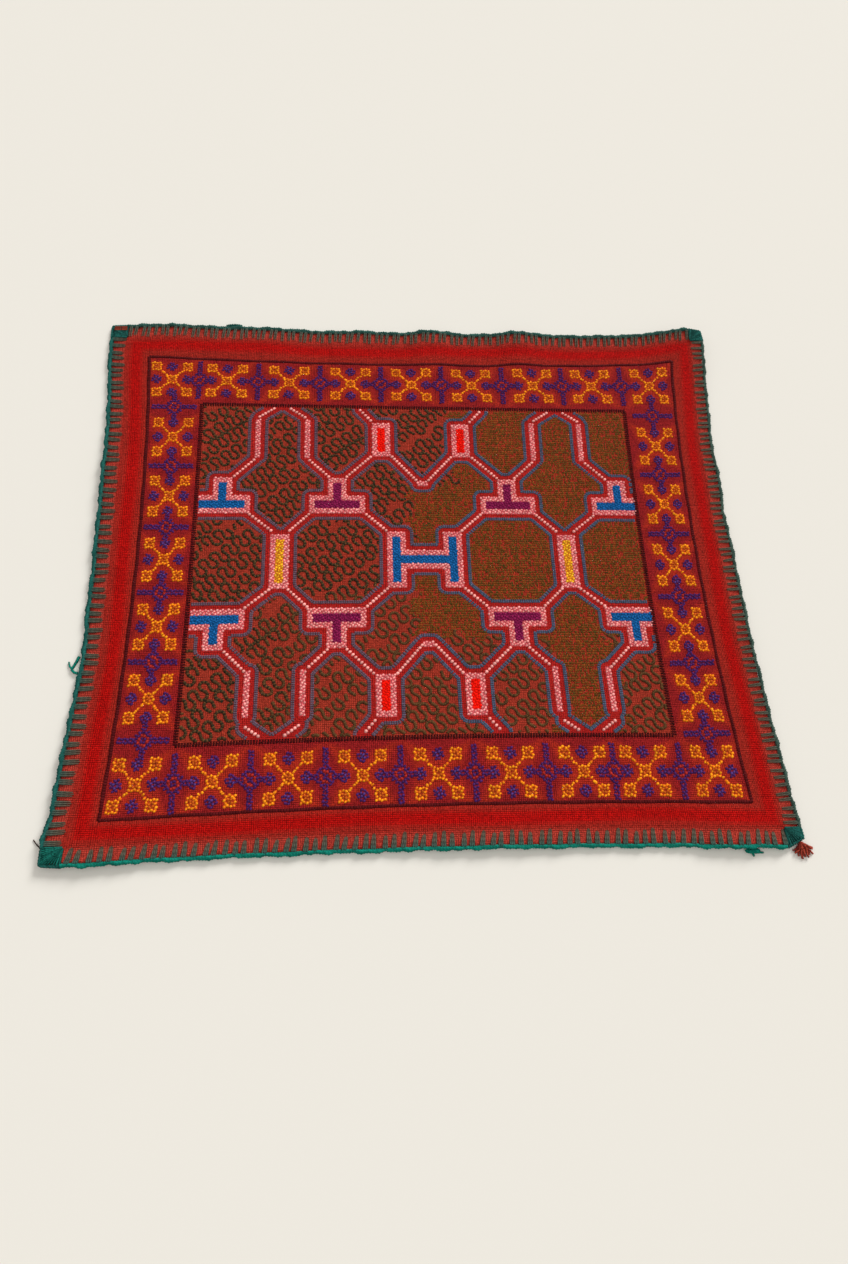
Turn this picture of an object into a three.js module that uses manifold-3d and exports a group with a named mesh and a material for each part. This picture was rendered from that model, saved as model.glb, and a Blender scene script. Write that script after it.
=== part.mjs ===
// A square-cornered ceremonial cloth lying flat: one woven piece with a stitched panel,
// a star band and a red border, edged all round with blanket-stitched yarn.
// Millimetres, +X right, +Y towards the back edge, +Z up. The origin is in the middle
// of the underside, on the surface that the cloth lies on.

import * as THREE from 'three';
import { mergeVertices } from 'three/addons/utils/BufferGeometryUtils.js';
import Module from 'manifold-3d';

const wasm = await Module();
wasm.setup();

// The cloth
const THICKNESS = 2;
const HALF_LENGTH = 297;
const HALF_DEPTH = 262;
const GROOVE_DEPTH = 0.5;
const GROOVE_HALF_WIDTH = 1.6;
const HEM = 13;
const INNER_COLUMNS = 24;
const INNER_ROWS = 11;

// The yarn edging, whose pieces lie a gap apart from the cloth and from each other
const GAP = 0.3;
const OVER_CLOTH = 0.4;
const YARN_WIDTH = 3;
const YARN_HEIGHT = 3.1;
const STITCH_PITCH = 7.6;
const STITCH_LENGTH = 11.6;
const STITCH_WIDTH = 3;
const STITCH_TIP_WIDTH = 2.2;
const STITCH_HEIGHT = 0.8;
const STITCH_ROOT_OUT = 0.9;
const STITCH_ROOT_HEIGHT = 0.56;
const CORNER_CAP_HEIGHT = 1.2;
const CORNER_WALL_HEIGHT = 3.1;
const CORNER_STEPS = 4;

// How unevenly the stitches are made: by how much, and how fast it changes along the row
const UNEVEN = {
  place: { amount: 0.9, rate: 2.4 },
  length: { amount: 1.2, rate: 1.7 },
  slant: { amount: 0.7, rate: 0.9 },
};

// The edge yarn's section: how far out from the cloth and how high, in shares of its size
const YARN_SECTION = [
  { out: 0, height: 0.06 },
  { out: 0.6, height: 0 },
  { out: 1, height: 0.4 },
  { out: 0.85, height: 0.8 },
  { out: 0.45, height: 1.05 },
  { out: 0, height: 1 },
];

// The tassel: a head with two layers of strands, fanned between two angles in degrees
const STRAND = 1.7;
const TASSEL_RADIUS = 4.3;
const TASSEL_FLATNESS = 0.75;
const TASSEL_ALONG = 9;
const TASSEL_LAYERS = [
  { count: 9, from: -158, to: 10, length: 8.8, rise: 0 },
  { count: 6, from: -140, to: 16, length: 8, rise: 1.9 },
];
const TASSEL_UNEVEN = {
  angle: { amount: 5, rate: 2.1 },
  length: { amount: 1.6, rate: 2.7 },
};

// Loose yarn on the surface beside an edge. A strand runs through three places: along the
// edge, out from the edging, and how high its lower side is.
const LOOSE_STRANDS = [
  {
    piece: 'yarn_knot', side: 'front', root: 2.2, tip: 1.7,
    along: [256, 260, 262.6], out: [2, 1.9, 2.1], rise: [0.5, 0, 0],
  },
  {
    piece: 'yarn_knot', side: 'front', root: 2.2, tip: 1.7,
    along: [254, 254.6, 255.4], out: [2.4, 4, 5.4], rise: [0.5, 0, 0],
  },
  {
    piece: 'yarn_tuft', side: 'left', root: 2.4, tip: 2,
    along: [-93, -98.4, -104.4], out: [1.3, 3.4, 6], rise: [0.5, 0, 0.2],
  },
  {
    piece: 'yarn_tuft', side: 'left', root: 2.4, tip: 2,
    along: [-107.8, -107, -104.4], out: [0.3, 3.2, 6], rise: [0.5, 0, 0.2],
  },
  {
    piece: 'yarn_tuft', side: 'left', root: 1.7, tip: 1,
    along: [-103.8, -101.4, -97.4], out: [5.4, 8, 9.4], rise: [0.3, 0, 0.3],
  },
  {
    piece: 'loose_thread', side: 'left', root: 1.1, tip: 0.9,
    along: [-248.6, -246.4, -243.6], out: [0, 3.4, 6.8], rise: [0.6, 0.3, 0],
  },
];
const LOOSE_LUMPS = [
  { piece: 'yarn_knot', side: 'front', along: 254.6, out: 2.3, height: 2.1, radii: [5.6, 2.1, 2] },
  { piece: 'yarn_lump', side: 'back', along: -183, out: 2.1, height: 2, radii: [7.6, 2, 1.9] },
];

// Where each line that runs round the cloth lies: half its length, and its place at the
// start of the side, at the middle and at the end. Sides start at the left or the front.
const LINES = {
  left: {
    edge: { nominal: -HALF_LENGTH, half: 262, start: -301.7, middle: -289.3, end: -300.9 },
    band: { nominal: -262, half: 227, start: -262.8, middle: -254.5, end: -263.4 },
    panel: { nominal: -209.5, half: 169, start: -209, middle: -207.4, end: -209 },
  },
  right: {
    edge: { nominal: HALF_LENGTH, half: 262, start: 296.6, middle: 285, end: 295.3 },
    band: { nominal: 260, half: 227, start: 261, middle: 252, end: 261 },
    panel: { nominal: 203, half: 169, start: 205.2, middle: 202, end: 205 },
  },
  front: {
    edge: { nominal: -HALF_DEPTH, half: 297, start: -263.6, middle: -257.9, end: -263.8 },
    band: { nominal: -228, half: 261, start: -231, middle: -224.6, end: -228.6 },
    panel: { nominal: -171.5, half: 206, start: -172, middle: -168.6, end: -171 },
  },
  back: {
    edge: { nominal: HALF_DEPTH, half: 297, start: 259.9, middle: 254.3, end: 256.4 },
    band: { nominal: 225, half: 261, start: 223, middle: 216.8, end: 221.6 },
    panel: { nominal: 166.5, half: 206, start: 167.4, middle: 164.8, end: 162.8 },
  },
};

// The soft folds that run in from the edges: the middle along the side, half the width,
// how far in the fold runs, how far it pushes the edge out, and how high it lifts.
const FOLDS = [
  { side: 'back', at: -235, halfWidth: 62, reach: 55, out: 2.1, lift: 1.6 },
  { side: 'back', at: -160, halfWidth: 60, reach: 50, out: 2.5, lift: 0.5 },
  { side: 'back', at: -60, halfWidth: 40, reach: 50, out: 1.1, lift: 0 },
  { side: 'back', at: 14, halfWidth: 34, reach: 75, out: 1.4, lift: 2.6 },
  { side: 'back', at: 104, halfWidth: 34, reach: 85, out: 0.5, lift: 4.2 },
  { side: 'back', at: 162, halfWidth: 30, reach: 60, out: -1, lift: 0 },
  { side: 'back', at: 285, halfWidth: 75, reach: 85, out: 3, lift: 6 },
  { side: 'right', at: 275, halfWidth: 80, reach: 60, out: -0.6, lift: 1.5 },
  { side: 'right', at: 130, halfWidth: 60, reach: 45, out: -1.9, lift: 0 },
  { side: 'right', at: 45, halfWidth: 40, reach: 40, out: -1.5, lift: 0 },
  { side: 'right', at: -90, halfWidth: 90, reach: 35, out: -1.1, lift: 1.6 },
  { side: 'front', at: 245, halfWidth: 65, reach: 45, out: 1.2, lift: 2.6 },
  { side: 'front', at: 40, halfWidth: 110, reach: 40, out: 0.2, lift: 1.8 },
  { side: 'front', at: -270, halfWidth: 90, reach: 50, out: 0.8, lift: 2.8 },
  { side: 'left', at: -240, halfWidth: 16, reach: 20, out: 1.2, lift: 0 },
  { side: 'left', at: -190, halfWidth: 80, reach: 45, out: -1, lift: 2 },
  { side: 'left', at: -100, halfWidth: 70, reach: 40, out: -2.3, lift: 0 },
  { side: 'left', at: 70, halfWidth: 120, reach: 40, out: 0.8, lift: 2.2 },
  { side: 'left', at: 205, halfWidth: 60, reach: 45, out: 1.5, lift: 0 },
];

// How far each corner is drawn in, along X and along Y
const CORNERS = {
  back_left: { side: 'left', other: 'back', inX: 1, inY: 0.8 },
  back_right: { side: 'right', other: 'back', inX: 2, inY: 2 },
  front_left: { side: 'left', other: 'front', inX: 0.8, inY: 1.4 },
  front_right: { side: 'right', other: 'front', inX: 0.5, inY: 6.2 },
};

const SIDES = {
  left: { alongX: false, outward: -1, slant: 0.3 },
  right: { alongX: false, outward: 1, slant: -0.3 },
  front: { alongX: true, outward: -1, slant: 1.4 },
  back: { alongX: true, outward: 1, slant: -1.2 },
};

const RED = { color: 0x8f231c, roughness: 0.95, metalness: 0 };
const TEAL = { color: 0x147064, roughness: 0.95, metalness: 0 };
const RUSSET = { color: 0x96382e, roughness: 0.95, metalness: 0 };
const DARK_BROWN = { color: 0x4a3530, roughness: 0.95, metalness: 0 };

const FINISHES = {
  cloth: RED,
  tassel: RUSSET,
  loose_thread: DARK_BROWN,
};

const lerp = THREE.MathUtils.lerp;
const clamp = THREE.MathUtils.clamp;

function wave({ amount, rate }, index, phase) {
  return amount * Math.sin(index * rate + phase);
}

function hump(distance, halfWidth) {
  const share = Math.min(Math.abs(distance) / halfWidth, 1);
  return Math.cos((share * Math.PI) / 2) ** 2;
}

function fade(depth, reach) {
  const share = clamp(depth / reach, 0, 1);
  return 1 - share * share * (3 - 2 * share);
}

// The place of one of the lines above, which bows, at a nominal distance along its side
function lineAt(line, along) {
  const share = clamp(along / line.half, -1, 1);
  const straight = lerp(line.start, line.end, (share + 1) / 2);
  const bow = line.middle - (line.start + line.end) / 2;
  return straight + bow * (1 - share * share);
}

function foldSum(side, along, depth, amount) {
  let sum = 0;
  for (const fold of FOLDS) {
    if (fold.side === side) {
      sum += fold[amount] * hump(along - fold.at, fold.halfWidth) * fade(depth, fold.reach);
    }
  }
  return sum;
}

// A coordinate in the plan, read off between the lines on both of its sides
function planCoordinate(low, high, value, along) {
  const stops = [low.edge, low.band, low.panel, high.panel, high.band, high.edge];
  const upper = clamp(stops.findIndex((stop) => value <= stop.nominal), 1, stops.length - 1);
  const before = stops[upper - 1];
  const after = stops[upper];
  const share = (value - before.nominal) / (after.nominal - before.nominal);
  return lerp(lineAt(before, along), lineAt(after, along), share);
}

// The point of the cloth's underside for a nominal place on the cloth
function underside(s, t) {
  const point = new THREE.Vector3(
    planCoordinate(LINES.left, LINES.right, s, t),
    planCoordinate(LINES.front, LINES.back, t, s),
    0,
  );
  const depths = {
    left: s + HALF_LENGTH,
    right: HALF_LENGTH - s,
    front: t + HALF_DEPTH,
    back: HALF_DEPTH - t,
  };
  for (const [side, { alongX, outward }] of Object.entries(SIDES)) {
    const along = alongX ? s : t;
    const push = outward * foldSum(side, along, depths[side], 'out');
    point.x += alongX ? 0 : push;
    point.y += alongX ? push : 0;
    point.z += foldSum(side, along, depths[side], 'lift');
  }
  for (const corner of Object.values(CORNERS)) {
    const nearness = clamp(1 - depths[corner.side] / HEM, 0, 1)
      * clamp(1 - depths[corner.other] / HEM, 0, 1);
    point.x -= SIDES[corner.side].outward * corner.inX * nearness;
    point.y -= SIDES[corner.other].outward * corner.inY * nearness;
  }
  return point;
}

// The grid that the cloth is built on
function gridLines(low, high, cells) {
  const values = [low.edge.nominal, low.edge.nominal + HEM];
  const groove = (line) => [-GROOVE_HALF_WIDTH, 0, GROOVE_HALF_WIDTH].map((step) => line.nominal + step);
  const bandMiddle = (line) => (line.band.nominal + line.panel.nominal) / 2;
  values.push(...groove(low.band), bandMiddle(low), ...groove(low.panel));
  for (let cell = 1; cell < cells; cell += 1) {
    values.push(lerp(low.panel.nominal, high.panel.nominal, cell / cells));
  }
  values.push(...groove(high.panel), bandMiddle(high), ...groove(high.band));
  values.push(high.edge.nominal - HEM, high.edge.nominal);
  return values;
}

const COLUMNS = gridLines(LINES.left, LINES.right, INNER_COLUMNS);
const ROWS = gridLines(LINES.front, LINES.back, INNER_ROWS);

// The two stitched lines sink into the top face, each as a rectangle of grooves
function grooveDepth(s, t) {
  const onRectangle = (line) => {
    const left = LINES.left[line].nominal;
    const right = LINES.right[line].nominal;
    const front = LINES.front[line].nominal;
    const back = LINES.back[line].nominal;
    const between = (value, low, high) => value >= low && value <= high;
    const onSide = (s === left || s === right) && between(t, front, back);
    const onEnd = (t === front || t === back) && between(s, left, right);
    return onSide || onEnd;
  };
  return onRectangle('band') || onRectangle('panel') ? GROOVE_DEPTH : 0;
}

function gridPoint(column, row, onTop) {
  const s = COLUMNS[column];
  const t = ROWS[row];
  const point = underside(s, t);
  point.z += onTop ? THICKNESS - grooveDepth(s, t) : 0;
  return point;
}

function cellOf(values, value) {
  const next = values.findIndex((edge) => value < edge);
  const cell = next < 0 ? values.length - 2 : Math.max(next - 1, 0);
  return { cell, share: clamp((value - values[cell]) / (values[cell + 1] - values[cell]), 0, 1) };
}

// The point of the faceted top face for a nominal place on the cloth
function onTop(s, t) {
  const column = cellOf(COLUMNS, s);
  const row = cellOf(ROWS, t);
  const start = gridPoint(column.cell, row.cell, true);
  const across = gridPoint(column.cell + 1, row.cell + 1, true);
  const acrossShare = Math.min(column.share, row.share);
  const side = column.share > row.share ? [1, 0] : [0, 1];
  const third = gridPoint(column.cell + side[0], row.cell + side[1], true);
  const sideShare = Math.max(column.share, row.share) - acrossShare;
  return new THREE.Vector3()
    .addScaledVector(start, 1 - acrossShare - sideShare)
    .addScaledVector(across, acrossShare)
    .addScaledVector(third, sideShare);
}

function geometryFrom(points, faces) {
  const geometry = new THREE.BufferGeometry();
  const values = points.flatMap((point) => [point.x, point.y, point.z]);
  geometry.setAttribute('position', new THREE.Float32BufferAttribute(values, 3));
  geometry.setIndex(faces.flat());
  return geometry;
}

function clothGeometry() {
  const points = [];
  const faces = [];
  const width = COLUMNS.length;
  const layer = width * ROWS.length;
  for (const top of [false, true]) {
    for (let row = 0; row < ROWS.length; row += 1) {
      for (let column = 0; column < width; column += 1) {
        points.push(gridPoint(column, row, top));
      }
    }
  }
  for (let row = 0; row < ROWS.length - 1; row += 1) {
    for (let column = 0; column < width - 1; column += 1) {
      const a = row * width + column;
      const b = a + 1;
      const c = b + width;
      const d = a + width;
      faces.push([a, c, b], [a, d, c]);
      faces.push([a + layer, b + layer, c + layer], [a + layer, c + layer, d + layer]);
    }
  }
  const rim = [];
  for (let column = 0; column < width - 1; column += 1) rim.push(column);
  for (let row = 0; row < ROWS.length - 1; row += 1) rim.push(row * width + width - 1);
  for (let column = width - 1; column > 0; column -= 1) rim.push(layer - width + column);
  for (let row = ROWS.length - 1; row > 0; row -= 1) rim.push(row * width);
  rim.forEach((from, index) => {
    const to = rim[(index + 1) % rim.length];
    faces.push([from, to, to + layer], [from, to + layer, from + layer]);
  });
  return geometryFrom(points, faces);
}

// A closed body through rings of points, all with the same count, seen anticlockwise
// from the end towards the start
function loft(rings) {
  const count = rings[0].length;
  const faces = [];
  for (let ring = 0; ring < rings.length - 1; ring += 1) {
    for (let index = 0; index < count; index += 1) {
      const a = ring * count + index;
      const b = ring * count + ((index + 1) % count);
      faces.push([a, b, b + count], [a, b + count, a + count]);
    }
  }
  const last = (rings.length - 1) * count;
  for (let index = 1; index < count - 1; index += 1) {
    faces.push([0, index + 1, index], [last, last + index, last + index + 1]);
  }
  return geometryFrom(rings.flat(), faces);
}

// A closed body between two outlines of the same points, lower and upper
function slab(lower, upper) {
  const count = lower.length;
  const outline = lower.map((p) => new THREE.Vector2(p.x, p.y));
  if (THREE.ShapeUtils.isClockWise(outline)) {
    return slab([...lower].reverse(), [...upper].reverse());
  }
  const faces = [];
  for (const [a, b, c] of THREE.ShapeUtils.triangulateShape(outline, [])) {
    faces.push([a, c, b], [a + count, b + count, c + count]);
  }
  for (let index = 0; index < count; index += 1) {
    const next = (index + 1) % count;
    faces.push([index, next, next + count], [index, next + count, index + count]);
  }
  return geometryFrom([...lower, ...upper], faces);
}

function turnedOutwards(geometry) {
  const index = geometry.getIndex();
  const place = geometry.getAttribute('position');
  const corner = [new THREE.Vector3(), new THREE.Vector3(), new THREE.Vector3()];
  let volume = 0;
  for (let face = 0; face < index.count; face += 3) {
    corner.forEach((point, step) => point.fromBufferAttribute(place, index.getX(face + step)));
    volume += corner[0].dot(corner[1].clone().cross(corner[2]));
  }
  if (volume < 0) {
    index.array.reverse();
  }
  return geometry;
}

function asSolid(geometry) {
  const bare = geometry.clone();
  bare.deleteAttribute('normal');
  bare.deleteAttribute('uv');
  const merged = turnedOutwards(mergeVertices(bare, 1e-4));
  return new wasm.Manifold(new wasm.Mesh({
    numProp: 3,
    vertProperties: new Float32Array(merged.getAttribute('position').array),
    triVerts: new Uint32Array(merged.getIndex().array),
  }));
}

function joined(geometries) {
  const solid = geometries.map(asSolid).reduce((sum, next) => sum.add(next));
  const mesh = solid.getMesh();
  const geometry = new THREE.BufferGeometry();
  geometry.setAttribute('position', new THREE.BufferAttribute(new Float32Array(mesh.vertProperties), 3));
  geometry.setIndex(new THREE.BufferAttribute(new Uint32Array(mesh.triVerts), 1));
  return geometry;
}

// A point beside the cloth's edge: its place along the side, how far out, how high above
// the underside
function beside(side, along, out, height) {
  const { alongX, outward } = SIDES[side];
  const s = alongX ? along : outward * HALF_LENGTH;
  const t = alongX ? outward * HALF_DEPTH : along;
  const point = onTop(s, t);
  point.x += alongX ? 0 : outward * out;
  point.y += alongX ? outward * out : 0;
  point.z += height - THICKNESS;
  return point;
}

// A point above the cloth: its place along the side, how far in from the edge, how high
// above the top face
function above(side, along, inwards, height) {
  const { alongX, outward } = SIDES[side];
  const s = alongX ? along : outward * (HALF_LENGTH - inwards);
  const t = alongX ? outward * (HALF_DEPTH - inwards) : along;
  const point = onTop(s, t);
  point.z += height;
  return point;
}

// The yarn that runs along one edge, through the grid lines that it passes
function edgeYarn(side, from, to, lines) {
  const stations = [from, ...lines.filter((value) => value > from + 1 && value < to - 1), to];
  return loft(stations.map((along) => YARN_SECTION.map(({ out, height }) => (
    beside(side, along, GAP + out * YARN_WIDTH, height * YARN_HEIGHT)))));
}

// One stitch over the edge, three-sided, from inside the edge yarn to its tip on the border
function edgeStitch(side, along, length, slant) {
  const ring = (width, rise, at) => [at(-width / 2, 0), at(width / 2, 0), at(0, rise)];
  const root = (across, height) => (
    beside(side, along + across, STITCH_ROOT_OUT, THICKNESS + OVER_CLOTH + height));
  const tip = (across, height) => above(side, along + slant + across, length, OVER_CLOTH + height);
  return loft([
    ring(STITCH_WIDTH, STITCH_ROOT_HEIGHT, root),
    ring(STITCH_TIP_WIDTH, STITCH_HEIGHT, tip),
  ]);
}

// One side's edging, unevenly stitched as by hand
function edgingGeometry(side, phase) {
  const { alongX, slant } = SIDES[side];
  const end = (alongX ? HALF_LENGTH : HALF_DEPTH) - HEM - GAP;
  const pieces = [edgeYarn(side, -end, end, alongX ? COLUMNS : ROWS)];
  const room = 2 * (end - STITCH_WIDTH);
  const count = Math.floor(room / STITCH_PITCH);
  for (let stitch = 0; stitch <= count; stitch += 1) {
    pieces.push(edgeStitch(
      side,
      (stitch / count - 0.5) * room + wave(UNEVEN.place, stitch, phase),
      STITCH_LENGTH + wave(UNEVEN.length, stitch, phase),
      slant + wave(UNEVEN.slant, stitch, phase),
    ));
  }
  return joined(pieces);
}

// The thick yarn that turns a corner: a pad over the cloth and a wall round its edge
function cornerGeometry({ side, other }) {
  const signX = SIDES[side].outward;
  const signY = SIDES[other].outward;
  const cornerPoint = underside(signX * HALF_LENGTH, signY * HALF_DEPTH);
  const sideEnd = underside(signX * HALF_LENGTH, signY * (HALF_DEPTH - HEM));
  const otherEnd = underside(signX * (HALF_LENGTH - HEM), signY * HALF_DEPTH);
  const inner = underside(signX * (HALF_LENGTH - HEM), signY * (HALF_DEPTH - HEM));
  const outline = (out) => {
    const points = [new THREE.Vector3(out * signX, 0, 0).add(sideEnd)];
    for (let step = 0; step <= CORNER_STEPS; step += 1) {
      const angle = (step / CORNER_STEPS) * (Math.PI / 2);
      points.push(new THREE.Vector3(signX * Math.cos(angle), signY * Math.sin(angle), 0)
        .multiplyScalar(out).add(cornerPoint));
    }
    points.push(new THREE.Vector3(0, out * signY, 0).add(otherEnd));
    return points;
  };
  const raised = (points, height) => points.map((p) => new THREE.Vector3(p.x, p.y, p.z + height));
  const padOutline = [inner, ...outline(YARN_WIDTH)];
  const wallOutline = [...outline(GAP + YARN_WIDTH), ...outline(GAP).reverse()];
  const padLow = THICKNESS + OVER_CLOTH;
  return joined([
    slab(raised(padOutline, padLow), raised(padOutline, padLow + CORNER_CAP_HEIGHT)),
    slab(raised(wallOutline, 0), raised(wallOutline, CORNER_WALL_HEIGHT)),
  ]);
}

// A four-sided strand through a few points, which narrows towards its tip. The points lie
// on its lower side.
function strand(points, thickness, tipThickness) {
  const rings = points.map((point, index) => {
    const before = points[Math.max(index - 1, 0)];
    const after = points[Math.min(index + 1, points.length - 1)];
    const along = new THREE.Vector3(after.x - before.x, after.y - before.y, 0).normalize();
    const across = new THREE.Vector3(-along.y, along.x, 0);
    const width = lerp(thickness, tipThickness, index / (points.length - 1));
    return [[-0.5, 0], [0.5, 0], [0.5, 1], [-0.5, 1]].map(([aside, rise]) => (
      new THREE.Vector3(0, 0, rise * width).addScaledVector(across, aside * width).add(point)));
  });
  return loft(rings);
}

function lump(center, radii) {
  const geometry = new THREE.IcosahedronGeometry(1, 1);
  return geometry.scale(...radii).translate(center.x, center.y, center.z);
}

// The frayed tassel outside the front right corner
function tasselGeometry() {
  const cornerPoint = underside(HALF_LENGTH, -HALF_DEPTH);
  const frontPoint = underside(HALF_LENGTH - HEM, -HALF_DEPTH);
  const edge = new THREE.Vector3().subVectors(cornerPoint, frontPoint).setZ(0).normalize();
  const out = 2 * GAP + YARN_WIDTH + TASSEL_RADIUS;
  const halfHeight = TASSEL_RADIUS * TASSEL_FLATNESS;
  const center = new THREE.Vector3(edge.y * out, -edge.x * out, 0)
    .add(frontPoint).addScaledVector(edge, TASSEL_ALONG).setZ(halfHeight);
  const pieces = [lump(center, [TASSEL_RADIUS, TASSEL_RADIUS, halfHeight])];
  for (const { count, from, to, length, rise } of TASSEL_LAYERS) {
    for (let index = 0; index < count; index += 1) {
      const degrees = lerp(from, to, index / (count - 1)) + wave(TASSEL_UNEVEN.angle, index, 0);
      const reach = length + wave(TASSEL_UNEVEN.length, index, rise);
      const direction = new THREE.Vector3(1, 0, 0)
        .applyAxisAngle(new THREE.Vector3(0, 0, 1), THREE.MathUtils.degToRad(degrees));
      const at = (distance) => center.clone().addScaledVector(direction, distance).setZ(rise);
      pieces.push(strand([at(1), at(reach / 2), at(reach)], STRAND, STRAND));
    }
  }
  return joined(pieces);
}

// A point on the surface that the cloth lies on: beside an edge, clear of its edging
function onFloor(side, along, out, height) {
  return beside(side, along, 2 * GAP + YARN_WIDTH + out, 0).setZ(height);
}

// One piece of loose yarn, from the rows that name it
function looseGeometry(piece) {
  const strands = LOOSE_STRANDS.filter((row) => row.piece === piece).map((row) => (
    strand(
      row.along.map((along, index) => onFloor(row.side, along, row.out[index], row.rise[index])),
      row.root,
      row.tip,
    )));
  const lumps = LOOSE_LUMPS.filter((row) => row.piece === piece).map((row) => (
    lump(onFloor(row.side, row.along, row.out, row.height), row.radii)));
  return joined([...lumps, ...strands]);
}

const cloth = new THREE.Group();

function addPiece(name, geometry) {
  const mesh = new THREE.Mesh(geometry, new THREE.MeshStandardMaterial(FINISHES[name] ?? TEAL));
  mesh.name = name;
  cloth.add(mesh);
}

addPiece('cloth', clothGeometry());
Object.keys(SIDES).forEach((side, index) => addPiece(`edging_${side}`, edgingGeometry(side, index)));
for (const [name, corner] of Object.entries(CORNERS)) {
  addPiece(`corner_${name}`, cornerGeometry(corner));
}
addPiece('tassel', tasselGeometry());
for (const name of ['yarn_knot', 'yarn_tuft', 'yarn_lump', 'loose_thread']) {
  addPiece(name, looseGeometry(name));
}

export default cloth;
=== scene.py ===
import math
from types import SimpleNamespace

import bpy
import numpy as np
from bpy.props import FloatProperty, FloatVectorProperty, PointerProperty
from mathutils import Matrix, Vector


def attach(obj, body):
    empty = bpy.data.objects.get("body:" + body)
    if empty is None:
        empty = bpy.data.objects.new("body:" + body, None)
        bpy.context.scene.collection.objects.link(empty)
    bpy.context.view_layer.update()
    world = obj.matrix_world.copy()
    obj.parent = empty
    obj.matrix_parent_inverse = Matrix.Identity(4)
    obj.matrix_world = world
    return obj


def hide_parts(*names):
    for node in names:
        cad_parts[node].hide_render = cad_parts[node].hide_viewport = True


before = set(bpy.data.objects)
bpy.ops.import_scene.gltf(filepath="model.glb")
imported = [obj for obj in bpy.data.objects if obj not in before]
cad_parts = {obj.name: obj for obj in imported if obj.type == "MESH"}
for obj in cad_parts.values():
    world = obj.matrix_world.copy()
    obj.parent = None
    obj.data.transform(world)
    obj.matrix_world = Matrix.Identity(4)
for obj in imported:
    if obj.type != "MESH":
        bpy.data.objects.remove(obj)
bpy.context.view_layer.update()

bl_info = {
    "name": "Shipibo Ceremonial Cloth",
    "version": (1, 0, 0),
    "blender": (4, 5, 0),
    "location": "3D View > Sidebar > Cloth",
    "description": "Builds an embroidered ceremonial cloth, piece by piece",
    "category": "Mesh",
}

# Sizes are in millimetres on the cloth as it was cut and stitched, before it was pulled out of shape.
MM = 0.001
HALF_LENGTH = 297.0
HALF_DEPTH = 262.0
HEM = 13.0
THICKNESS = 2.0
GAP = 0.3
OVER_CLOTH = 0.4
YARN_WIDTH = 3.0
WEAVE_PITCH = 1.6
GROOVE_DEPTH = 0.5
GROOVE_HALF_WIDTH = 1.6
SEED = 11

# Each line gives its nominal place, half its length, and where its start, middle and end lie.
LINES = {
    "left": {
        "edge": (-297.0, 262.0, -301.7, -289.3, -300.9),
        "band": (-262.0, 227.0, -262.8, -254.5, -263.4),
        "panel": (-209.5, 169.0, -209.0, -207.4, -209.0),
    },
    "right": {
        "edge": (297.0, 262.0, 296.6, 285.0, 295.3),
        "band": (260.0, 227.0, 261.0, 252.0, 261.0),
        "panel": (203.0, 169.0, 205.2, 202.0, 205.0),
    },
    "front": {
        "edge": (-262.0, 297.0, -263.6, -257.9, -263.8),
        "band": (-228.0, 261.0, -231.0, -224.6, -228.6),
        "panel": (-171.5, 206.0, -172.0, -168.6, -171.0),
    },
    "back": {
        "edge": (262.0, 297.0, 259.9, 254.3, 256.4),
        "band": (225.0, 261.0, 223.0, 216.8, 221.6),
        "panel": (166.5, 206.0, 167.4, 164.8, 162.8),
    },
}
# Side, place along it, half width, reach into the cloth, how far out, how far up.
FOLDS = (
    ("back", -235.0, 62.0, 55.0, 2.1, 1.6),
    ("back", -160.0, 60.0, 50.0, 2.5, 0.5),
    ("back", -60.0, 40.0, 50.0, 1.1, 0.0),
    ("back", 14.0, 34.0, 75.0, 1.4, 2.6),
    ("back", 104.0, 34.0, 85.0, 0.5, 4.2),
    ("back", 162.0, 30.0, 60.0, -1.0, 0.0),
    ("back", 285.0, 75.0, 85.0, 3.0, 6.0),
    ("right", 275.0, 80.0, 60.0, -0.6, 1.5),
    ("right", 130.0, 60.0, 45.0, -1.9, 0.0),
    ("right", 45.0, 40.0, 40.0, -1.5, 0.0),
    ("right", -90.0, 90.0, 35.0, -1.1, 1.6),
    ("front", 245.0, 65.0, 45.0, 1.2, 2.6),
    ("front", 40.0, 110.0, 40.0, 0.2, 1.8),
    ("front", -270.0, 90.0, 50.0, 0.8, 2.8),
    ("left", -240.0, 16.0, 20.0, 1.2, 0.0),
    ("left", -190.0, 80.0, 45.0, -1.0, 2.0),
    ("left", -100.0, 70.0, 40.0, -2.3, 0.0),
    ("left", 70.0, 120.0, 40.0, 0.8, 2.2),
    ("left", 205.0, 60.0, 45.0, 1.5, 0.0),
)
# The two sides that meet, and how far the corner is drawn in along each direction.
CORNERS = (
    ("left", "back", 1.0, 0.8),
    ("right", "back", 2.0, 2.0),
    ("left", "front", 0.8, 1.4),
    ("right", "front", 0.5, 6.2),
)
# Whether the side runs across the cloth, and which way is outward.
SIDES = {"left": (False, -1), "right": (False, 1), "front": (True, -1), "back": (True, 1)}


def line_at(line, along):
    """Where a bowed line lies, at a nominal distance along it."""
    half, start, middle, end = line[1:]
    share = np.clip(along / half, -1, 1)
    straight = start + (end - start) * (share + 1) / 2
    return straight + (middle - (start + end) / 2) * (1 - share * share)


def places_of(line):
    """The nominal places of the left, right, front and back line of one kind."""
    return [LINES[side][line][0] for side in SIDES]


def hump(distance, half_width):
    """1 at no distance, and softly down to 0 at the half width."""
    share = np.minimum(np.abs(distance) / half_width, 1)
    return np.cos(share * math.pi / 2) ** 2


def fade(depth, reach):
    """1 at no depth, and softly down to 0 at the reach."""
    share = np.clip(depth / reach, 0, 1)
    return 1 - share * share * (3 - 2 * share)


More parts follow.
